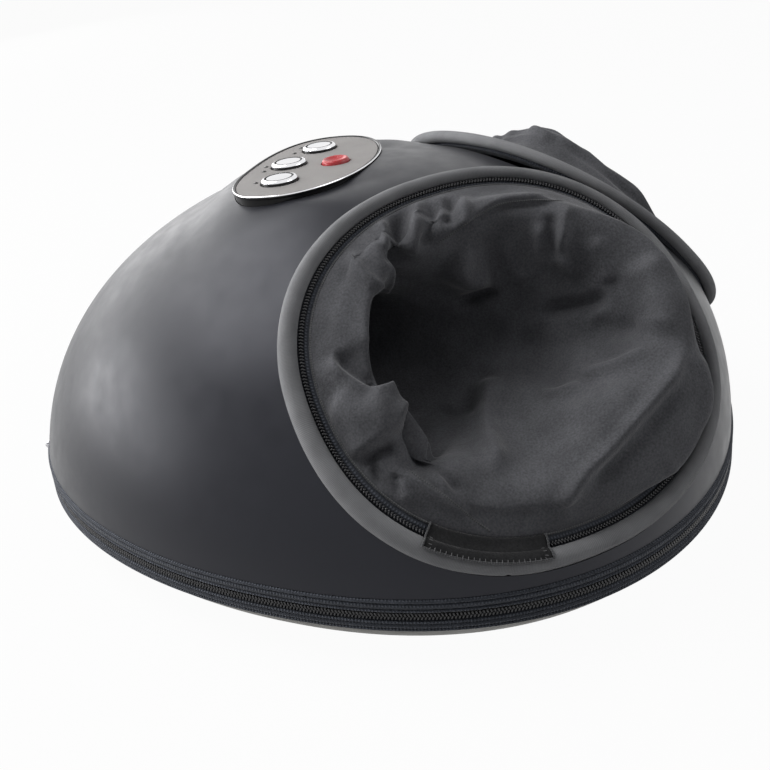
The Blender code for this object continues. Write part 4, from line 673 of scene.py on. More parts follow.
# Looks of the model's own nodes only
brushed("steel", (0.50, 0.50, 0.52), 0.3)
plastic("circuit_board", (0.02, 0.11, 0.045), 0.4, grain=0.002)
brushed("motor_can", (0.42, 0.42, 0.44), 0.4)
plastic("housing_plastic", (0.62, 0.62, 0.60), 0.5)
plastic("inlet_plastic", (0.015, 0.015, 0.015), 0.45)
brushed("bronze", (0.42, 0.28, 0.12), 0.38)
plastic("gear_plastic", (0.72, 0.71, 0.66), 0.35)
plastic("head_plastic", (0.20, 0.20, 0.22), 0.5)
woven("air_bag_fabric", (0.26, 0.25, 0.23), 0.0012)
plastic("hose_vinyl", (0.50, 0.51, 0.53), 0.3)


def dress_cad_nodes():
    """Give every node of the model the procedural material of its slot."""
    for entry in frame["record"]["subparts"]:
        materials = frame["nodes"][entry["node"]].data.materials
        materials.clear()
        materials.append(LOOKS[entry["material_slot"]])


# Pieces


def panel_cutter(name, offset, height, reach):
    """A prism on the panel's outline, standing along its normal."""
    place = panel_frame()
    outline = [place @ p for p in panel_outline(offset, height, 120)]
    return helper(name, outline, place.to_3x3() @ Vector((0.0, 0.0, 1.0)) * reach)


def make_dome():
    rise = DOME_HEIGHT - DOME_EQUATOR
    first = math.asin(((DOME_EDGE - DOME_BELOW - DOME_EQUATOR) / rise) ** (RISE_POWER / 2.0))
    rows, around = 64, 192
    angle = turns(around)
    grid = []
    for row in range(rows):
        lift = first + (math.pi / 2.0 - first) * row / rows
        z = DOME_EQUATOR + rise * math.sin(lift) ** (2.0 / RISE_POWER)
        grid.append(dome_point(angle, math.cos(lift) ** (2.0 / RISE_POWER), z))
    outer = panel_land(np.array(grid))
    apex = panel_land(dome_point(np.zeros(1), 0.0, DOME_HEIGHT))[0]
    last = (rows - 1) * around
    faces = grid_faces(rows, around)
    faces += [(last + i, last + (i + 1) % around, rows * around) for i in range(around)]
    dome = make_piece("satin_dome", list(outer.reshape(-1, 3)) + [apex], faces, SATIN)
    thicken(dome, DOME_WALL, -1.0, even=True)
    cutters = [helper("below", square(0.3), Vector((0.0, 0.0, DOME_EDGE))),
               panel_cutter("window", FIT - WINDOW_OVERLAP, -0.027, 0.054),
               panel_cutter("rebate", FIT, REBATE_FLOOR, 0.010)]
    turn = turns(160)
    for label, side in SIDES.items():
        normal = Vector(ring_axes(side)[2])
        above = ring_point(side, turn, RING_TUBE + FIT, -FIT)
        within = ring_point(side, turn, 0.0, -SEAT_BELOW)
        cutters.append(helper("above_" + label, above, normal * SEAT_ABOVE))
        cutters.append(helper("within_" + label, within, normal * SEAT_BELOW))
        centre = ring_point(side, turn)
        groove = tube("groove_" + label, centre, RING_TUBE + FIT, [], centre - ring_axes(side)[3], body=None,
                      sides=24)
        tidy(groove)
        cutters.append(groove)
    cut(dome, cutters)
    shade(dome.data, 32.0)
    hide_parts("dome_shell")


def sweep_base(name, profile, sharp, look):
    points = np.array([base_point(turns(240), z, offset) for offset, z in profile])
    return grid_piece(name, points, look, close_rows=True, sharp=sharp)


def rounded(profile, radius, steps=3):
    """Cut the corners of a closed profile with short arcs."""
    out = []
    count = len(profile)
    for i, corner in enumerate(profile):
        corner = Vector(corner)
        before = Vector(profile[i - 1]) - corner
        after = Vector(profile[(i + 1) % count]) - corner
        reach = min(radius, before.length * 0.45, after.length * 0.45)
        start = corner + before.normalized() * reach
        end = corner + after.normalized() * reach
        for k in range(steps + 1):
            t = k / steps
            out.append(tuple(start * (1 - t) ** 2 + corner * (2 * t * (1 - t)) + end * t * t))
    return out


def make_tray():
    rim = -(TAPE_THICKNESS + FIT)
    top = DOME_EDGE - FIT
    outer = [(-TRAY_INSET, TRAY_BOTTOM), (-TRAY_INSET / 2.0, (TRAY_BOTTOM + TRAY_STEP) / 2.0 - FIT),
             (-TRAY_LIP, TRAY_STEP - 0.0006), (-TRAY_LIP, TRAY_STEP), (rim, TRAY_STEP), (rim, top),
             (rim - TRAY_WALL, top), (rim - TRAY_WALL, TRAY_STEP),
             (-TRAY_INSET - TRAY_WALL, TRAY_BOTTOM + TRAY_FLOOR)]
    points = [outer[0]] + rounded(outer, TRAY_ROUNDING)[4:-4] + [outer[-1]]
    around, count = 240, len(points)
    rows = np.array([base_point(turns(around), z, offset) for offset, z in points])
    faces = grid_faces(count, around)
    faces += [tuple(range(around))[::-1], tuple(range((count - 1) * around, count * around))]
    tray = make_piece("base_pan", rows.reshape(-1, 3), faces, TRAY, uv=grid_uv(rows))
    tidy(tray)
    low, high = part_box("power_inlet")
    middle = (low + high) / 2.0
    radius = (high.x - low.x) / 2.0 + FIT
    hole = [(x, low.y - 0.02, z) for x, z in circle(middle.x, middle.z, radius, 48)]
    cut(tray, [helper("inlet_hole", hole, Vector((0.0, 0.06, 0.0)))])
    shade(tray.data, 40.0)
    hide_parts("base_tray")


def make_band():
    for name, node, top, low, forward, share in (
            ("band_upper_tape", "upper_zipper_tape", DOME_EDGE - FIT, TAPE_BOTTOM, 0.0, 1.0),
            ("band_lower_tape", "lower_zipper_tape", COIL_BOTTOM - FIT, PIPING_BOTTOM, 0.0002, 0.84)):
        profile = [(-TAPE_THICKNESS, top), (-TAPE_THICKNESS, low)]
        profile += [(out + forward, low + rise * share) for out, rise in BRAID]
        profile.append((TAPE_FACE, top))
        piece = sweep_base(name, profile, 60.0, TAPE)
        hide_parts(node)
    bed_top = TAPE_BOTTOM - FIT
    bed = [(-TAPE_THICKNESS, bed_top), (-TAPE_THICKNESS, COIL_BOTTOM),
           (COIL_FACE, COIL_BOTTOM), (COIL_FACE, bed_top)]
    piece = sweep_base("band_coil_bed", bed, 40.0, COIL)
    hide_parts("base_zipper_coil")
    angle = turns(1440)
    middle = (bed_top + COIL_BOTTOM) / 2.0
    for label, sign, shift in (("upper", 1.0, 0.0), ("lower", -1.0, 0.5)):
        path = spaced(base_point(angle, middle + sign * BASE_TOOTH[2], TOOTH_RISE), BASE_PITCH)
        path = moved_on(path, shift)
        level = path * np.array((1.0, 1.0, 0.0))
        make_teeth("base_teeth_" + label, path, level, BASE_TOOTH, sign * TOOTH_TILT)


def thin_side(angle):
    """1 where the ring is thinnest, at its top and inner end, and 0 opposite."""
    return 0.5 + 0.5 * np.cos(angle - THIN_SIDE)


def ring_inner(angle):
    """Offset of the ring's inner side from its centre line."""
    return -RING_TUBE * (1.0 - 2.0 * RING_THIN * thin_side(angle)) - FIT


def zip_edge(angle):
    """Offset of the zipper's inner edge from the ring's centre line."""
    thin = thin_side(angle)
    return -(RING_TUBE * (1.0 - 2.0 * RING_THIN * thin) + FIT + ZIP_WIDTH - ZIP_NARROW * thin)


def make_ring(label, side):
    around, sides = 360, 36
    angle = turns(around)
    thin = RING_THIN * thin_side(angle)
    centre = ring_point(side, angle, RING_TUBE * thin)
    _, out, up = frames_along(centre, centre - ring_axes(side)[3])
    if np.sum(up[0] * ring_axes(side)[2]) < 0.0:
        up = -up
    turn = turns(sides)
    gap = np.abs((angle - math.radians(RING_SEAM) + math.pi) % TAU - math.pi)
    radius = np.zeros((around, sides))
    for i in range(around):
        for j in range(sides):
            place = (math.cos(angle[i]) * 5.0, math.sin(angle[i]) * 5.0, math.cos(turn[j]))
            radius[i, j] = RING_TUBE * (1.0 - thin[i]) * (1.0 + RING_UNEVEN * noise.noise(Vector(place)))
    radius -= RING_DENT * np.exp(-(gap / SEAM_BREADTH) ** 2)[:, None]
    points = round_path(centre, radius[..., None], sides, out, up)
    length = TAU * (RING_HALF_LENGTH + RING_HALF_HEIGHT) / 2.0
    u = np.arange(around) / around * length
    v = np.abs(np.arange(sides) / sides - 0.5) * 2.0 * math.pi * RING_TUBE
    ring = grid_piece("padded_ring_" + label, points, RING_CLOTH, close_rows=True, sharp=70.0,
                      uv=np.stack(np.meshgrid(v, u)[::-1], axis=-1).reshape(-1, 2))
    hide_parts("opening_ring_" + label)


def make_opening_zipper(label, side):
    angle = turns(360)
    outer = ring_inner(angle)
    width = outer - zip_edge(angle)
    rows = []
    for share, height in ZIP_PROFILE:
        offset = outer - share if share < 0.0 else outer - share * width
        rows.append(ring_point(side, angle, offset, height))
    tape = grid_piece("opening_tape_" + label, np.array(rows), TAPE, close_rows=True, sharp=60.0)
    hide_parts("opening_zipper_" + label)
    fine = turns(1440)
    for row, share, shift, sign in (("outer", 0.17, 0.0, 1.0), ("inner", 0.36, 0.5, -1.0)):
        offset = ring_inner(fine) - share * (ring_inner(fine) - zip_edge(fine))
        path = moved_on(spaced(ring_point(side, fine, offset, TOOTH_RISE), ZIP_PITCH), shift)
        name = "opening_teeth_%s_%s" % (row, label)
        make_teeth(name, path, ring_axes(side)[2], ZIP_TOOTH, sign * TOOTH_TILT)


# Liner loops, with a place every 22.5 degrees round the ring: mm along, up and out of its plane
SKIRT = ((99, 0, 12), (93, 36, 12), (74, 63, 9), (43, 81, 7), (2, 85, 7), (-37, 78, 6), (-66, 61, 5),
         (-85, 35, 5), (-91, 1, 5), (-85, -33, 5), (-64, -58, 6), (-35, -74, 6), (5, -83, 10),
         (54, -86, 12), (88, -61, 13), (96, -35, 13))
CREST = ((96, 1, 26), (90, 32, 25), (68, 55, 21), (40, 74, 15), (3, 79, 12), (-36, 75, 9), (-62, 58, 8),
         (-79, 32, 8), (-85, 3, 8), (-79, -28, 9), (-61, -55, 9), (-35, -71, 9), (-1, -76, 14),
         (32, -61, 24), (64, -47, 26), (86, -26, 26))
SHOULDER = ((82, -1, 21), (78, 27, 20), (59, 47, 17), (36, 67, 13), (4, 72, 10), (-34, 69, 8), (-52, 52, 7),
            (-64, 29, 7), (-69, 6, 7), (-61, -11, 9), (-54, -45, 9), (-34, -63, 8), (-2, -67, 14),
            (27, -51, 21), (54, -39, 21), (74, -21, 21))
FALL = ((68, -3, 2), (64, 23, 0), (48, 39, -4), (29, 58, -6), (2, 63, -5), (-34, 63, -6), (-54, 54, -6),
        (-66, 33, -6), (-71, 10, -7), (-63, -7, -4), (-50, -35, 2), (-30, -47, 0), (-2, -49, 0),
        (22, -37, 0), (42, -27, 0), (60, -15, 2))
BASIN = ((42, 6, -25), (40, 23, -25), (27, 39, -26), (12, 55, -24), (-12, 61, -20), (-42, 64, -16),
         (-61, 60, -14), (-75, 41, -13), (-81, 21, -14), (-74, 7, -18), (-62, -11, -22), (-42, -21, -25),
         (-18, -21, -28), (4, -13, -30), (20, -7, -30), (34, -1, -27))
DEEP = ((2, 31, -50), (2, 41, -48), (-6, 51, -45), (-18, 61, -38), (-36, 67, -30), (-54, 69, -24),
        (-72, 66, -21), (-86, 51, -19), (-94, 29, -19), (-89, 21, -27), (-78, 9, -42), (-64, 5, -52),
        (-48, 7, -58), (-32, 13, -60), (-18, 19, -60), (-8, 25, -56))
# The right liner stands higher at its top and lower on its inner side, in mm at each place
RIGHT_LIFT = (-20, -7, 2, 14, 9, 2, 0, 0, 0, 0, 0, 0, 0, -8, -16, -19)
LIFT_SHARES = (0.4, 1.0, 0.8, 0.0, 0.0, 0.0)
# Rows of mesh between the loops, and the rows that fade the folds in and out
ROW_STEPS = (2, 8, 18, 14, 20, 24, 20, 10, 6, 4, 3, 3)
FOLD_ROWS = (3, 100)
SEAM_TOP = ((438, 243), (460, 228), (480, 214), (500, 204), (520, 201), (540, 200), (562, 201))
SEAM_LOW = ((412, 472), (420, 478), (440, 492), (460, 508), (474, 520), (490, 531))
# Folds of the liner: places in the photo's pixels, height in mm, width in pixels on each side of the
# line. A step's left side is raised and its right side sunk; with a height below 0, the other way round.
RIDGES = ((((349, 252), (358, 270), (368, 284), (374, 292)), 5.0, 6.5),
          (((366, 394), (384, 399), (396, 410), (392, 424)), 4.0, 14.0),
          (((330, 398), (350, 412), (376, 420), (392, 416)), 6.0, 17.0),
          (((574, 204), (565, 216), (564, 230), (559, 250), (566, 264), (582, 275)), 5.5, 6.5),
          (((540, 222), (541, 246), (549, 272)), 4.0, 6.5),
          (((576, 377), (600, 371), (625, 362), (652, 347)), 3.4, 5.5),
          (((538, 390), (562, 389), (588, 386)), 2.8, 5.5),
          (((420, 196), (416, 215), (412, 240), (410, 262)), 5.5, 7.0),
          (((462, 197), (464, 212), (460, 227)), 3.4, 5.0),
          (((376, 214), (384, 234), (389, 250)), 4.5, 5.0),
          (((441, 194), (440, 206), (438, 220)), 3.0, 4.0),
          (((687, 343), (676, 370), (660, 394), (630, 428), (608, 452), (586, 472), (566, 498), (552, 526)),
           5.0, 7.0),
          (((448, 256), (462, 268), (478, 276), (494, 272)), 13.0, 16.0),
          (((486, 372), (486, 400), (490, 440), (500, 480)), 7.0, 12.0),
          (((400, 478), (404, 490), (412, 500)), 3.4, 5.0),
          (((362, 470), (366, 480), (372, 490)), 3.0, 4.5),
          (((438, 470), (444, 488), (456, 502), (472, 516)), 3.2, 4.5),
          (((640, 256), (652, 280), (664, 310), (660, 340)), 6.0, 17.0),
          (((500, 236), (512, 262), (530, 286)), 4.0, 10.0),
          (((590, 236), (604, 262), (612, 284)), 3.6, 9.0),
          (((560, 420), (600, 404), (640, 380)), 2.6, 12.0),
          (((694, 350), (704, 374), (708, 400), (702, 430)), 2.0, 7.0),
          (((655, 452), (668, 462), (676, 474)), 2.2, 5.0))
CREASES = ((((446, 308), (466, 302), (482, 293), (499, 288)), 10.0, 7.0),
           (((540, 313), (565, 308), (588, 304), (608, 293)), 6.5, 7.0),
           (((380, 228), (384, 246), (388, 266)), 7.0, 4.5),
           (((348, 470), (366, 456), (382, 447), (396, 440)), 6.0, 5.0),
           (((371, 464), (375, 478), (380, 490)), 5.0, 4.0),
           (((396, 474), (398, 484), (400, 496)), 4.0, 4.0),
           (((450, 199), (451, 212), (449, 227)), 5.0, 5.0),
           (((437, 204), (431, 225), (424, 252)), 6.0, 6.0),
           (((402, 206), (401, 235), (400, 275)), 7.0, 8.0),
           (((552, 212), (552, 236), (558, 262)), 4.0, 5.5),
           (((680, 384), (664, 408), (640, 436), (614, 464), (590, 490)), 4.5, 9.0),
           (((470, 330), (472, 370), (470, 420)), 7.0, 14.0),
           (((432, 360), (430, 400), (426, 440), (424, 480)), 13.0, 18.0),
           (((520, 330), (540, 360), (560, 400)), 4.0, 17.0),
           (((590, 320), (616, 330), (640, 322)), 3.4, 10.0),
           (((438, 470), (448, 478), (462, 494)), 3.4, 4.5))
STEPS = ((((374, 290), (370, 300), (368, 310), (367, 330), (369, 356), (373, 372), (379, 386)), -5.0, 12.0),
         (((391, 208), (389, 236), (391, 270), (392, 300), (390, 330), (381, 352), (372, 364)), -8.0, 13.0),
         (((332, 352), (340, 366), (354, 378), (370, 387), (386, 391), (404, 396)), -6.5, 20.0),
         (((410, 398), (408, 412), (398, 432), (386, 440), (370, 451), (358, 460), (346, 472)), -6.0, 16.0),
         (((394, 468), *SEAM_LOW), -2.6, 6.0),
         (SEAM_TOP, 4.0, 8.0))
STEP_BREADTH = 1.4
WRINKLE = 0.0012
# Folds of the far liner, which shows over the near ring
FAR_SHARE = 0.35
FAR_RIDGES = ((((528, 127), (540, 132), (552, 142)), 3.0, 4.0),
              (((500, 134), (540, 136), (580, 152), (620, 182)), 2.4, 4.0))
FAR_CREASES = ((((490, 138), (520, 133), (548, 138), (585, 158), (622, 186), (648, 212)), 3.0, 3.0),
               (((508, 130), (534, 127), (562, 134), (590, 150), (616, 172)), 2.2, 2.5))


def through(knots, index, t):
    """Smooth curve through knots, a share t past each index; knots go round."""
    p0, p1, p2, p3 = (knots[(index + k) % len(knots)] for k in (-1, 0, 1, 2))
    return 0.5 * (2.0 * p1 + (p2 - p0) * t + (2.0 * p0 - 5.0 * p1 + 4.0 * p2 - p3) * t ** 2
                  + (3.0 * p1 - p0 - 3.0 * p2 + p3) * t ** 3)


def around_loop(knots, angle):
    """Smooth closed loop through evenly spaced knots."""
    at = (angle / TAU * len(knots)) % len(knots)
    index = np.floor(at).astype(int)
    return through(knots / 1000.0, index, (at - index)[:, None])


def throat_point(place, half, angle, share=1.0):
    x = -place[0] + np.cos(angle) * half[0] * share
    z = place[2] + np.sin(angle) * half[1] * share
    return stack(x, np.full_like(x, place[1]), z)


def liner_grid(side):
    """A liner's foot side, from the zipper to the toe, before its folds; shown as the left one."""
    angle = turns(LINER_AROUND)
    loops = [ring_point(-1.0, angle, zip_edge(angle) - LINER_GAP, height) for height in LINER_START]
    for knots, share in zip((SKIRT, CREST, SHOULDER, FALL, BASIN, DEEP), LIFT_SHARES):
        knots = np.array(knots, float)
        if side > 0.0:
            knots[:, 2] += np.array(RIGHT_LIFT) * share
        loops.append(on_ring_plane(-1.0, around_loop(knots, angle)))
    throat = throat_point(THROAT, THROAT_HALF, angle)
    toe = throat_point(TOE, TOE_HALF, angle)
    cap = throat_point(TOE, TOE_HALF, angle, 0.7)
    cap[:, 1] += TOE_DEPTH * 0.7
    tip = np.broadcast_to(np.array((-TOE[0], TOE[1] + TOE_DEPTH, TOE[2])), throat.shape)
    loops += [throat, (throat + toe) / 2.0, toe, cap, tip]
    return smooth_rows(np.array(loops), ROW_STEPS)


def smooth_rows(loops, steps):
    """Cubic rows through loops, with slopes set by the chord lengths."""
    chord = np.linalg.norm(np.diff(loops, axis=0), axis=-1)
    chord = np.maximum(chord, 1e-5) ** 0.5
    slopes = np.diff(loops, axis=0) / chord[..., None]
    tangents = [slopes[0]]
    for i in range(1, len(loops) - 1):
        a, b = chord[i - 1][:, None], chord[i][:, None]
        tangents.append((slopes[i - 1] * b + slopes[i] * a) / (a + b))
    tangents.append(slopes[-1])
    rows = []
    for i, count in enumerate(steps):
        for k in range(count):
            t = k / count
            h00, h10 = 2 * t ** 3 - 3 * t ** 2 + 1, t ** 3 - 2 * t ** 2 + t
            h01, h11 = -2 * t ** 3 + 3 * t ** 2, t ** 3 - t ** 2
            width = chord[i][:, None]
            rows.append(loops[i] * h00 + tangents[i] * width * h10 + loops[i + 1] * h01
                        + tangents[i + 1] * width * h11)
    rows.append(loops[-1])
    return np.array(rows)


def grid_normals(points):
    """Normals on the side where the foot goes."""
    down = np.gradient(points, axis=0)
    across = np.roll(points, -1, axis=1) - np.roll(points, 1, axis=1)
    normal = np.cross(across, down)
    normal /= np.maximum(np.linalg.norm(normal, axis=-1, keepdims=True), 1e-9)
    return normal


def above_heads(points):
    """Keep the left liner's cloth above the kneading heads."""
    x, y = points[..., 0], points[..., 1]
    nearest = np.clip(y, HEAD_MIDDLE_Y - HEAD_SPACING, HEAD_MIDDLE_Y + HEAD_SPACING)
    away = np.maximum(0.0, np.hypot(x + HEAD_X, y - nearest) - HEAD_REACH)
    raised = points.copy()
    raised[..., 2] = np.maximum(points[..., 2], HEAD_LOWEST - away * HEAD_SLOPE)
    return raised


def fine_line(line, count=40):
    """A smooth line of points through a few places."""
    knots = np.array(line, float)
    knots = np.concatenate([2.0 * knots[:1] - knots[1:2], knots, 2.0 * knots[-1:] - knots[-2:-1]])
    at = np.linspace(0.0, len(line) - 1.000001, count)
    index = at.astype(int)
    return through(knots, index + 1, (at - index)[:, None])


def from_line(places, line):
    """Signed distance of places from a line, positive on its right, and how far along they are."""
    path = fine_line(line)
    start, run = path[:-1], np.diff(path, axis=0)
    best = np.full(places.shape[0], 1e9)
    side = np.zeros(places.shape[0])
    along = np.zeros(places.shape[0])
    for i in range(len(run)):
        reach = places - start[i]
        t = np.clip((reach @ run[i]) / (run[i] @ run[i]), 0.0, 1.0)
        off = reach - t[:, None] * run[i]
        far = np.hypot(off[:, 0], off[:, 1])
        near = far < best
        best = np.where(near, far, best)
        side = np.where(near, np.sign(run[i][0] * reach[:, 1] - run[i][1] * reach[:, 0]), side)
        along = np.where(near, (i + t) / len(run), along)
    return best * side, along


def ends_out(along):
    """1 on the middle of a line, falling to 0 over the fifth at each end."""
    return smoothstep(along * 5.0) * smoothstep((1.0 - along) * 5.0)


def fold_heights(points, normals, ridges, creases, steps):
    """How far the folds lift each point of a liner that the photo shows."""
    x, y = in_photo(points)
    places = np.stack([x.ravel(), y.ravel()], axis=-1)
    lift = np.zeros(len(places))
    for lines, sign in ((ridges, 1.0), (creases, -1.0)):
        for line, height, width in lines:
            off, along = from_line(places, line)
            lift += sign * height * np.exp(-(off / width) ** 2) * ends_out(along)
    for line, height, width in steps:
        off, along = from_line(places, line)
        lift -= height * np.tanh(off / STEP_BREADTH) * np.exp(-np.abs(off) / width) * ends_out(along)
    lift = lift.reshape(points.shape[:2]) / 1000.0
    eye = np.array(CAMERA_PLACE) - points
    eye /= np.linalg.norm(eye, axis=-1, keepdims=True)
    facing = smoothstep(np.sum(normals * eye, axis=-1) * 4.0 + 0.4)
    rows = np.arange(len(points))[:, None]
    seen = smoothstep((rows - FOLD_ROWS[0]) / 4.0) * smoothstep((FOLD_ROWS[1] - rows) / 8.0)
    return softened(lift * facing * seen)


def softened(lift):
    """Round off what is sharper than the cloth is thick."""
    for _ in range(2):
        lift = (np.roll(lift, 1, axis=1) + 2.0 * lift + np.roll(lift, -1, axis=1)) / 4.0
        lift[1:-1] = (lift[:-2] + 2.0 * lift[1:-1] + lift[2:]) / 4.0
    return lift


def wrinkles(grid):
    """Soft small waves of loose cloth."""
    flat = grid.reshape(-1, 3)
    wave = np.array([noise.noise(Vector(p) * 26.0) + 0.4 * noise.noise(Vector(p) * 70.0) for p in flat])
    rows = np.arange(len(grid))[:, None]
    return wave.reshape(grid.shape[:2]) * WRINKLE * smoothstep((rows - FOLD_ROWS[0]) / 4.0)


def make_liners():
    base = above_heads(liner_grid(-1.0))
    near = fold_heights(base, grid_normals(base), RIDGES, CREASES, STEPS)
    waves = wrinkles(base)
    for label, side in SIDES.items():
        grid = base if side < 0.0 else above_heads(liner_grid(side))
        normals = grid_normals(grid)
        mirror = np.array((-side, 1.0, 1.0))
        lift = near + waves
        if side > 0.0:
            lift = FAR_SHARE * near - waves
            lift = lift + fold_heights(grid * mirror, normals * mirror, FAR_RIDGES, FAR_CREASES, ())
        grid = above_heads(grid + normals * lift[..., None])
        liner = grid_piece("soft_liner_" + label, grid * mirror, LINER_CLOTH, sharp=80.0)
        tidy(liner)
        if side < 0.0:
            seams = seam_paths(liner)
        thicken(liner, LINER_THICKNESS, -1.0)
        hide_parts("liner_" + label)
        edge = grid[2] * mirror
        binding = tube("liner_binding_" + label, edge, BINDING_RADIUS, LINER_EDGE, edge - ring_axes(side)[3])
    for index, (path, normals) in enumerate(seams):
        piping = tube("liner_seam_%d" % index, path, SEAM_RADIUS, LINER_EDGE, normals, closed=False)


def seam_paths(liner):
    """Seam lines of the photo, laid on the liner's surface."""
    mesh = liner.data
    tree = BVHTree.FromPolygons([v.co for v in mesh.vertices], [f.vertices[:] for f in mesh.polygons])
    eye, right, up, back = (Vector(v) for v in (CAMERA_PLACE, CAMERA_RIGHT, CAMERA_UP, CAMERA_BACK))
    half = IMAGE_SIZE / 2.0
    paths = []
    for line in (SEAM_TOP, SEAM_LOW):
        places, normals = [], []
        for x, y in fine_line(line, 60):
            ray = right * ((x - half) / FOCUS) + up * ((half - y) / FOCUS) - back
            place, normal = tree.ray_cast(eye, ray.normalized())[:2]
            if place is not None:
                places.append(tuple(place))
                normals.append(tuple(normal if normal.dot(ray) < 0.0 else -normal))
        paths.append((np.array(places), np.array(normals)))
    return paths


def make_flaps():
    """Cloth flaps over the zipper ends, from the zipper's inner edge to the top of the ring."""
    angle = np.linspace(math.radians(FLAP_FROM), math.radians(FLAP_TO), 60)
    inner = zip_edge(angle) - FLAP_OVERHANG
    low = RING_TUBE * (1.0 - RING_THIN * thin_side(angle)) + 2.0 * FIT
    shift = RING_TUBE * RING_THIN * thin_side(angle)
    for label, side in SIDES.items():
        normal = ring_axes(side)[2]
        rows = [ring_point(side, angle, inner + beyond, height) for beyond, height in FLAP_EDGE]
        for a in np.linspace(math.radians(FLAP_START), math.radians(FLAP_END), 12):
            height = np.maximum(low * math.sin(a), FLAP_LOWEST)
            rows.append(ring_point(side, angle, shift + low * math.cos(a), height))
        rows = np.array(rows)
        # The flap's cloth carries painted shade: a darker copy of the liner's fleece.
        flap = grid_piece("stitched_flap_" + label, rows, FLAP_CLOTH_PAINTED_SHADE, close_columns=False, sharp=80.0)
        thicken(flap, FLAP_THICKNESS, -side)
        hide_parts("zipper_flap_" + label)
        path = np.concatenate([rows[2:, 3], rows[-2, 4:-4], rows[2:, -4][::-1]])
        path = spaced(path + normal * STITCH_RISE, STITCH_PITCH, closed=False)
        frames = frames_along(path, normal, closed=False)
        stitches = beads("flap_stitches_" + label, path, frames, STITCH, THREAD)
        edge = np.concatenate([rows[:, 0], rows[-1, 1:-1], rows[:, -1][::-1]])
        edge = edge + normal * HEM_RISE
        hem = tube("flap_hem_" + label, edge, HEM_RADIUS, LINER_EDGE, normal, closed=False)


def make_bezel():
    """Chrome line round the panel on a glossy black frame."""
    crown, flange, drop, skirt, wall = 0.0005, 0.0016, 0.0016, -0.0008, PANEL_WALL
    count = 144
    profile = [(skirt, -0.0170), (skirt, -drop), (-0.0002, -drop), (0.0, -drop + 0.0003), (0.0, -0.0001),
               (-0.0002, crown * 0.6), (-0.0004, crown * 0.95), (-0.0008, crown), (-0.0012, crown * 0.8),
               (-flange, crown * 0.2), (wall, -0.0003), (wall, -0.0160)]
    rows = np.array([[tuple(p) for p in panel_outline(offset, height, count)] for offset, height in profile])
    faces = grid_faces(len(profile), count, close_rows=True)
    bezel = make_piece("panel_trim", placed(rows.reshape(-1, 3), panel_frame()), faces, [CHROME, BLACK_GLOSS_AND_RIM_SHADE],
                       sharp=50.0)
    for face in bezel.data.polygons:
        if face.index // count not in (4, 5):
            face.material_index = 1
    tidy(bezel)
    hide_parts("panel_bezel")


def make_plate():
    """Plate with a hole for each button and lens."""
    curve = bpy.data.curves.new("plate_outline", "CURVE")
    curve.dimensions = "2D"
    curve.fill_mode = "BOTH"
    curve.extrude = PLATE_THICKNESS / 2.0
    curve.bevel_depth = PLATE_ROUNDING
    outlines = [[(p.x, p.y) for p in panel_outline(PANEL_WALL - FIT - PLATE_ROUNDING, 0.0, 144)]]
    outlines += [circle(x, y, radius + BUTTON_GAP, 48) for _, x, y, radius in BUTTONS]
    outlines += [circle(x, y, LENS_HOLE, 20) for x, y in lens_places()]
    for outline in outlines:
        spline = curve.splines.new("POLY")
        spline.points.add(len(outline) - 1)
        for target, point in zip(spline.points, outline):
            target.co = (*point, 0.0, 1.0)
        spline.use_cyclic_u = True
    item = add_object("plate_outline", curve)
    mesh = evaluated(item)
    bpy.data.objects.remove(item, do_unlink=True)
    mesh.transform(panel_frame() @ Matrix.Translation((0.0, 0.0, -PANEL_FALL)))
    mesh.materials.clear()
    mesh.materials.append(PLATE)
    shade(mesh, 30.0)
    plate = add_object("panel_face", mesh)
    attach(plate, "root")
    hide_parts("panel_plate")


def make_buttons():
    for name, x, y, radius in BUTTONS:
        chrome = name != "power_button"
        profile = [(r * radius, h) for r, h in (CHROME_FACE if chrome else POWER_FACE)]
        place = panel_frame() @ Matrix.Translation((x, y, 0.0))
        look = CHROME if chrome else RED
        cap = turned_piece(name + "_cap", profile, look, place, body=BODIES[name], sharp=50.0)
        if chrome:
            # Painted shade in the chrome cap's groove and on its side.
            paint_rim_shade(cap, place, radius)
        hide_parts(name)
    for index, (x, y) in enumerate(lens_places()):
        place = panel_frame() @ Matrix.Translation((x, y, 0.0))
        lens = turned_piece("lens_%d" % index, LENS_FACE, LENS, place, steps=20)
        if index == 0:
            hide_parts("indicator_lenses")


def paint_rim_shade(cap, place, radius):
    """Painted shade: the groove and the side of a chrome button take the glossy black, standing for the shade
    in them.
    """
    cap.data.materials.append(BLACK_GLOSS_AND_RIM_SHADE)
    back = place.inverted()
    for face in cap.data.polygons:
        spot = back @ face.center
        share = math.hypot(spot.x, spot.y) / radius
        if 0.69 < share < 0.79 or share > 0.965:
            face.material_index = 1


def lens_places():
    gap = CHROME_RADIUS + LENS_RADIUS * 3.0
    places = [(-CHROME_SPACING, CHROME_SIDE_Y + gap)]
    places += [(CHROME_RADIUS * i, CHROME_MIDDLE_Y + gap - abs(i) * LENS_RADIUS * 2.0) for i in (-1, 0, 1)]
    places += [(CHROME_SPACING + CHROME_RADIUS * i, CHROME_SIDE_Y + gap) for i in (-0.6, 0.6)]
    return places


def make_feet():
    for name in ("rubber_foot_%s_%s" % (end, label) for end in ("front", "back") for label in SIDES):
        low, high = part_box(name)
        radius = (high.x - low.x) / 2.0
        profile = [(0.0, high.z), (radius, high.z), (radius, 0.0022), (radius - 0.0004, 0.0010),
                   (radius - 0.0016, 0.0002), (radius - 0.0026, 0.0), (radius * 0.55, 0.0),
                   (radius * 0.5, 0.0008), (radius * 0.32, 0.0008), (radius * 0.27, 0.0), (0.0, 0.0)]
        middle = Matrix.Translation(((low.x + high.x) / 2.0, (low.y + high.y) / 2.0, 0.0))
        foot = turned_piece(name.replace("rubber_foot", "foot_pad"), profile, RUBBER, middle)
        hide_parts(name)


# Stage, light and camera

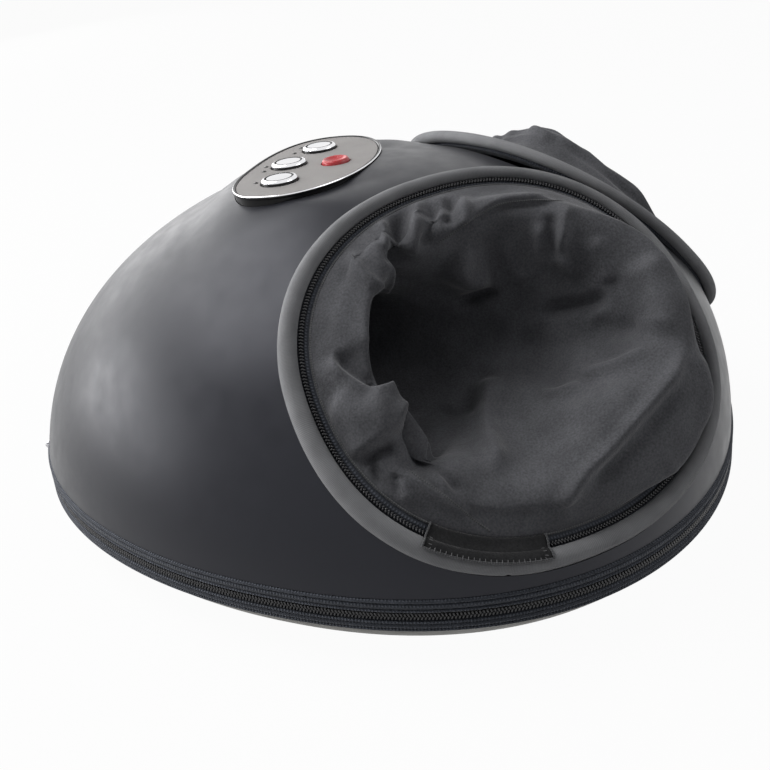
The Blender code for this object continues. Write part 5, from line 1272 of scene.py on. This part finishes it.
ROOM_LIGHT = 0.10
FLOOR_HALF = 8.0
FLOOR_COLOUR = (0.6, 0.6, 0.6)
FLOOR_WHITE = 0.96
OVERHEAD_WATTS = 16.0
BACK_WATTS = 34.0
SIDE_WATTS = 4.0
LOW_WATTS = 11.0


def area_light(name, place, target, size, power):
    data = bpy.data.lights.new(name, "AREA")
    data.shape = "RECTANGLE"
    data.size, data.size_y = size
    data.energy = power
    item = add_object(name, data)
    item.location = place
    item.rotation_mode = "QUATERNION"
    item.rotation_quaternion = (Vector(target) - Vector(place)).to_track_quat("-Z", "Y")


def shown_white(tree):
    """1 on camera, glossy and transmission rays, which see a white stage, and 0 on the others."""
    rays = add_node(tree, "LightPath").outputs
    shown = rays["Is Camera Ray"]
    for name in ("Is Glossy Ray", "Is Transmission Ray"):
        shown = add_node(tree, "Math", {0: shown, 1: rays[name]}, operation="MAXIMUM").outputs[0]
    return shown


def make_stage():
    world = bpy.data.worlds.new("studio")
    bpy.context.scene.world = world
    world.use_nodes = True
    tree = world.node_tree
    tree.nodes.clear()
    soft = add_node(tree, "Background", {"Color": (0.94, 0.96, 1.0, 1.0), "Strength": ROOM_LIGHT})
    white = add_node(tree, "Background", {"Color": (1.0, 1.0, 1.0, 1.0), "Strength": 1.0})
    mix = add_node(tree, "MixShader", {0: shown_white(tree), 1: soft.outputs[0], 2: white.outputs[0]})
    add_node(tree, "OutputWorld", {"Surface": mix.outputs[0]})
    floor = make_piece("floor", square(FLOOR_HALF), [(0, 1, 2, 3)], floor_look(), body=None, smooth=False)
    area_light("overhead_softbox", (-0.10, 0.80, 1.25), (0.0, 0.0, 0.1), (1.1, 1.0), OVERHEAD_WATTS)
    area_light("low_softbox", (-0.35, 1.75, 0.34), (0.0, 0.0, 0.1), (1.4, 0.66), LOW_WATTS)
    area_light("back_softbox", (0.95, 2.25, 0.85), (-0.05, 0.0, 0.12), (3.6, 1.5), BACK_WATTS)
    area_light("side_softbox", (0.15, -1.35, 1.00), (0.0, -0.05, 0.14), (0.9, 0.9), SIDE_WATTS)


def floor_look():
    """Matt floor that keeps shadows and shows nearly white."""
    look = Look("floor_white", FLOOR_COLOUR, 0.9, Specular_IOR_Level=0.1)
    share = add_node(look.tree, "Math", {0: shown_white(look.tree), 1: FLOOR_WHITE}, operation="MULTIPLY")
    glow = add_node(look.tree, "Emission", {"Strength": 1.0})
    inputs = {0: share.outputs[0], 1: look.shader.outputs[0], 2: glow.outputs[0]}
    mix = add_node(look.tree, "MixShader", inputs)
    look.tree.links.new(mix.outputs[0], look.tree.nodes["Material Output"].inputs["Surface"])
    return look.material


def make_camera():
    data = bpy.data.cameras.new("photo_camera")
    data.lens = CAMERA_LENS
    data.sensor_width = CAMERA_SENSOR
    data.clip_start = 0.01
    item = add_object("photo_camera", data)
    turn = Matrix((CAMERA_RIGHT, CAMERA_UP, CAMERA_BACK)).transposed()
    item.matrix_world = Matrix.Translation(CAMERA_PLACE) @ turn.to_4x4()
    bpy.context.scene.camera = item


make_camera()
make_stage()
dress_cad_nodes()
make_dome()
make_tray()
make_band()
for label, side in SIDES.items():
    make_ring(label, side)
    make_opening_zipper(label, side)
make_liners()
make_flaps()
make_bezel()
make_plate()
make_buttons()
make_feet()
bpy.context.scene.view_settings.view_transform = "Standard"
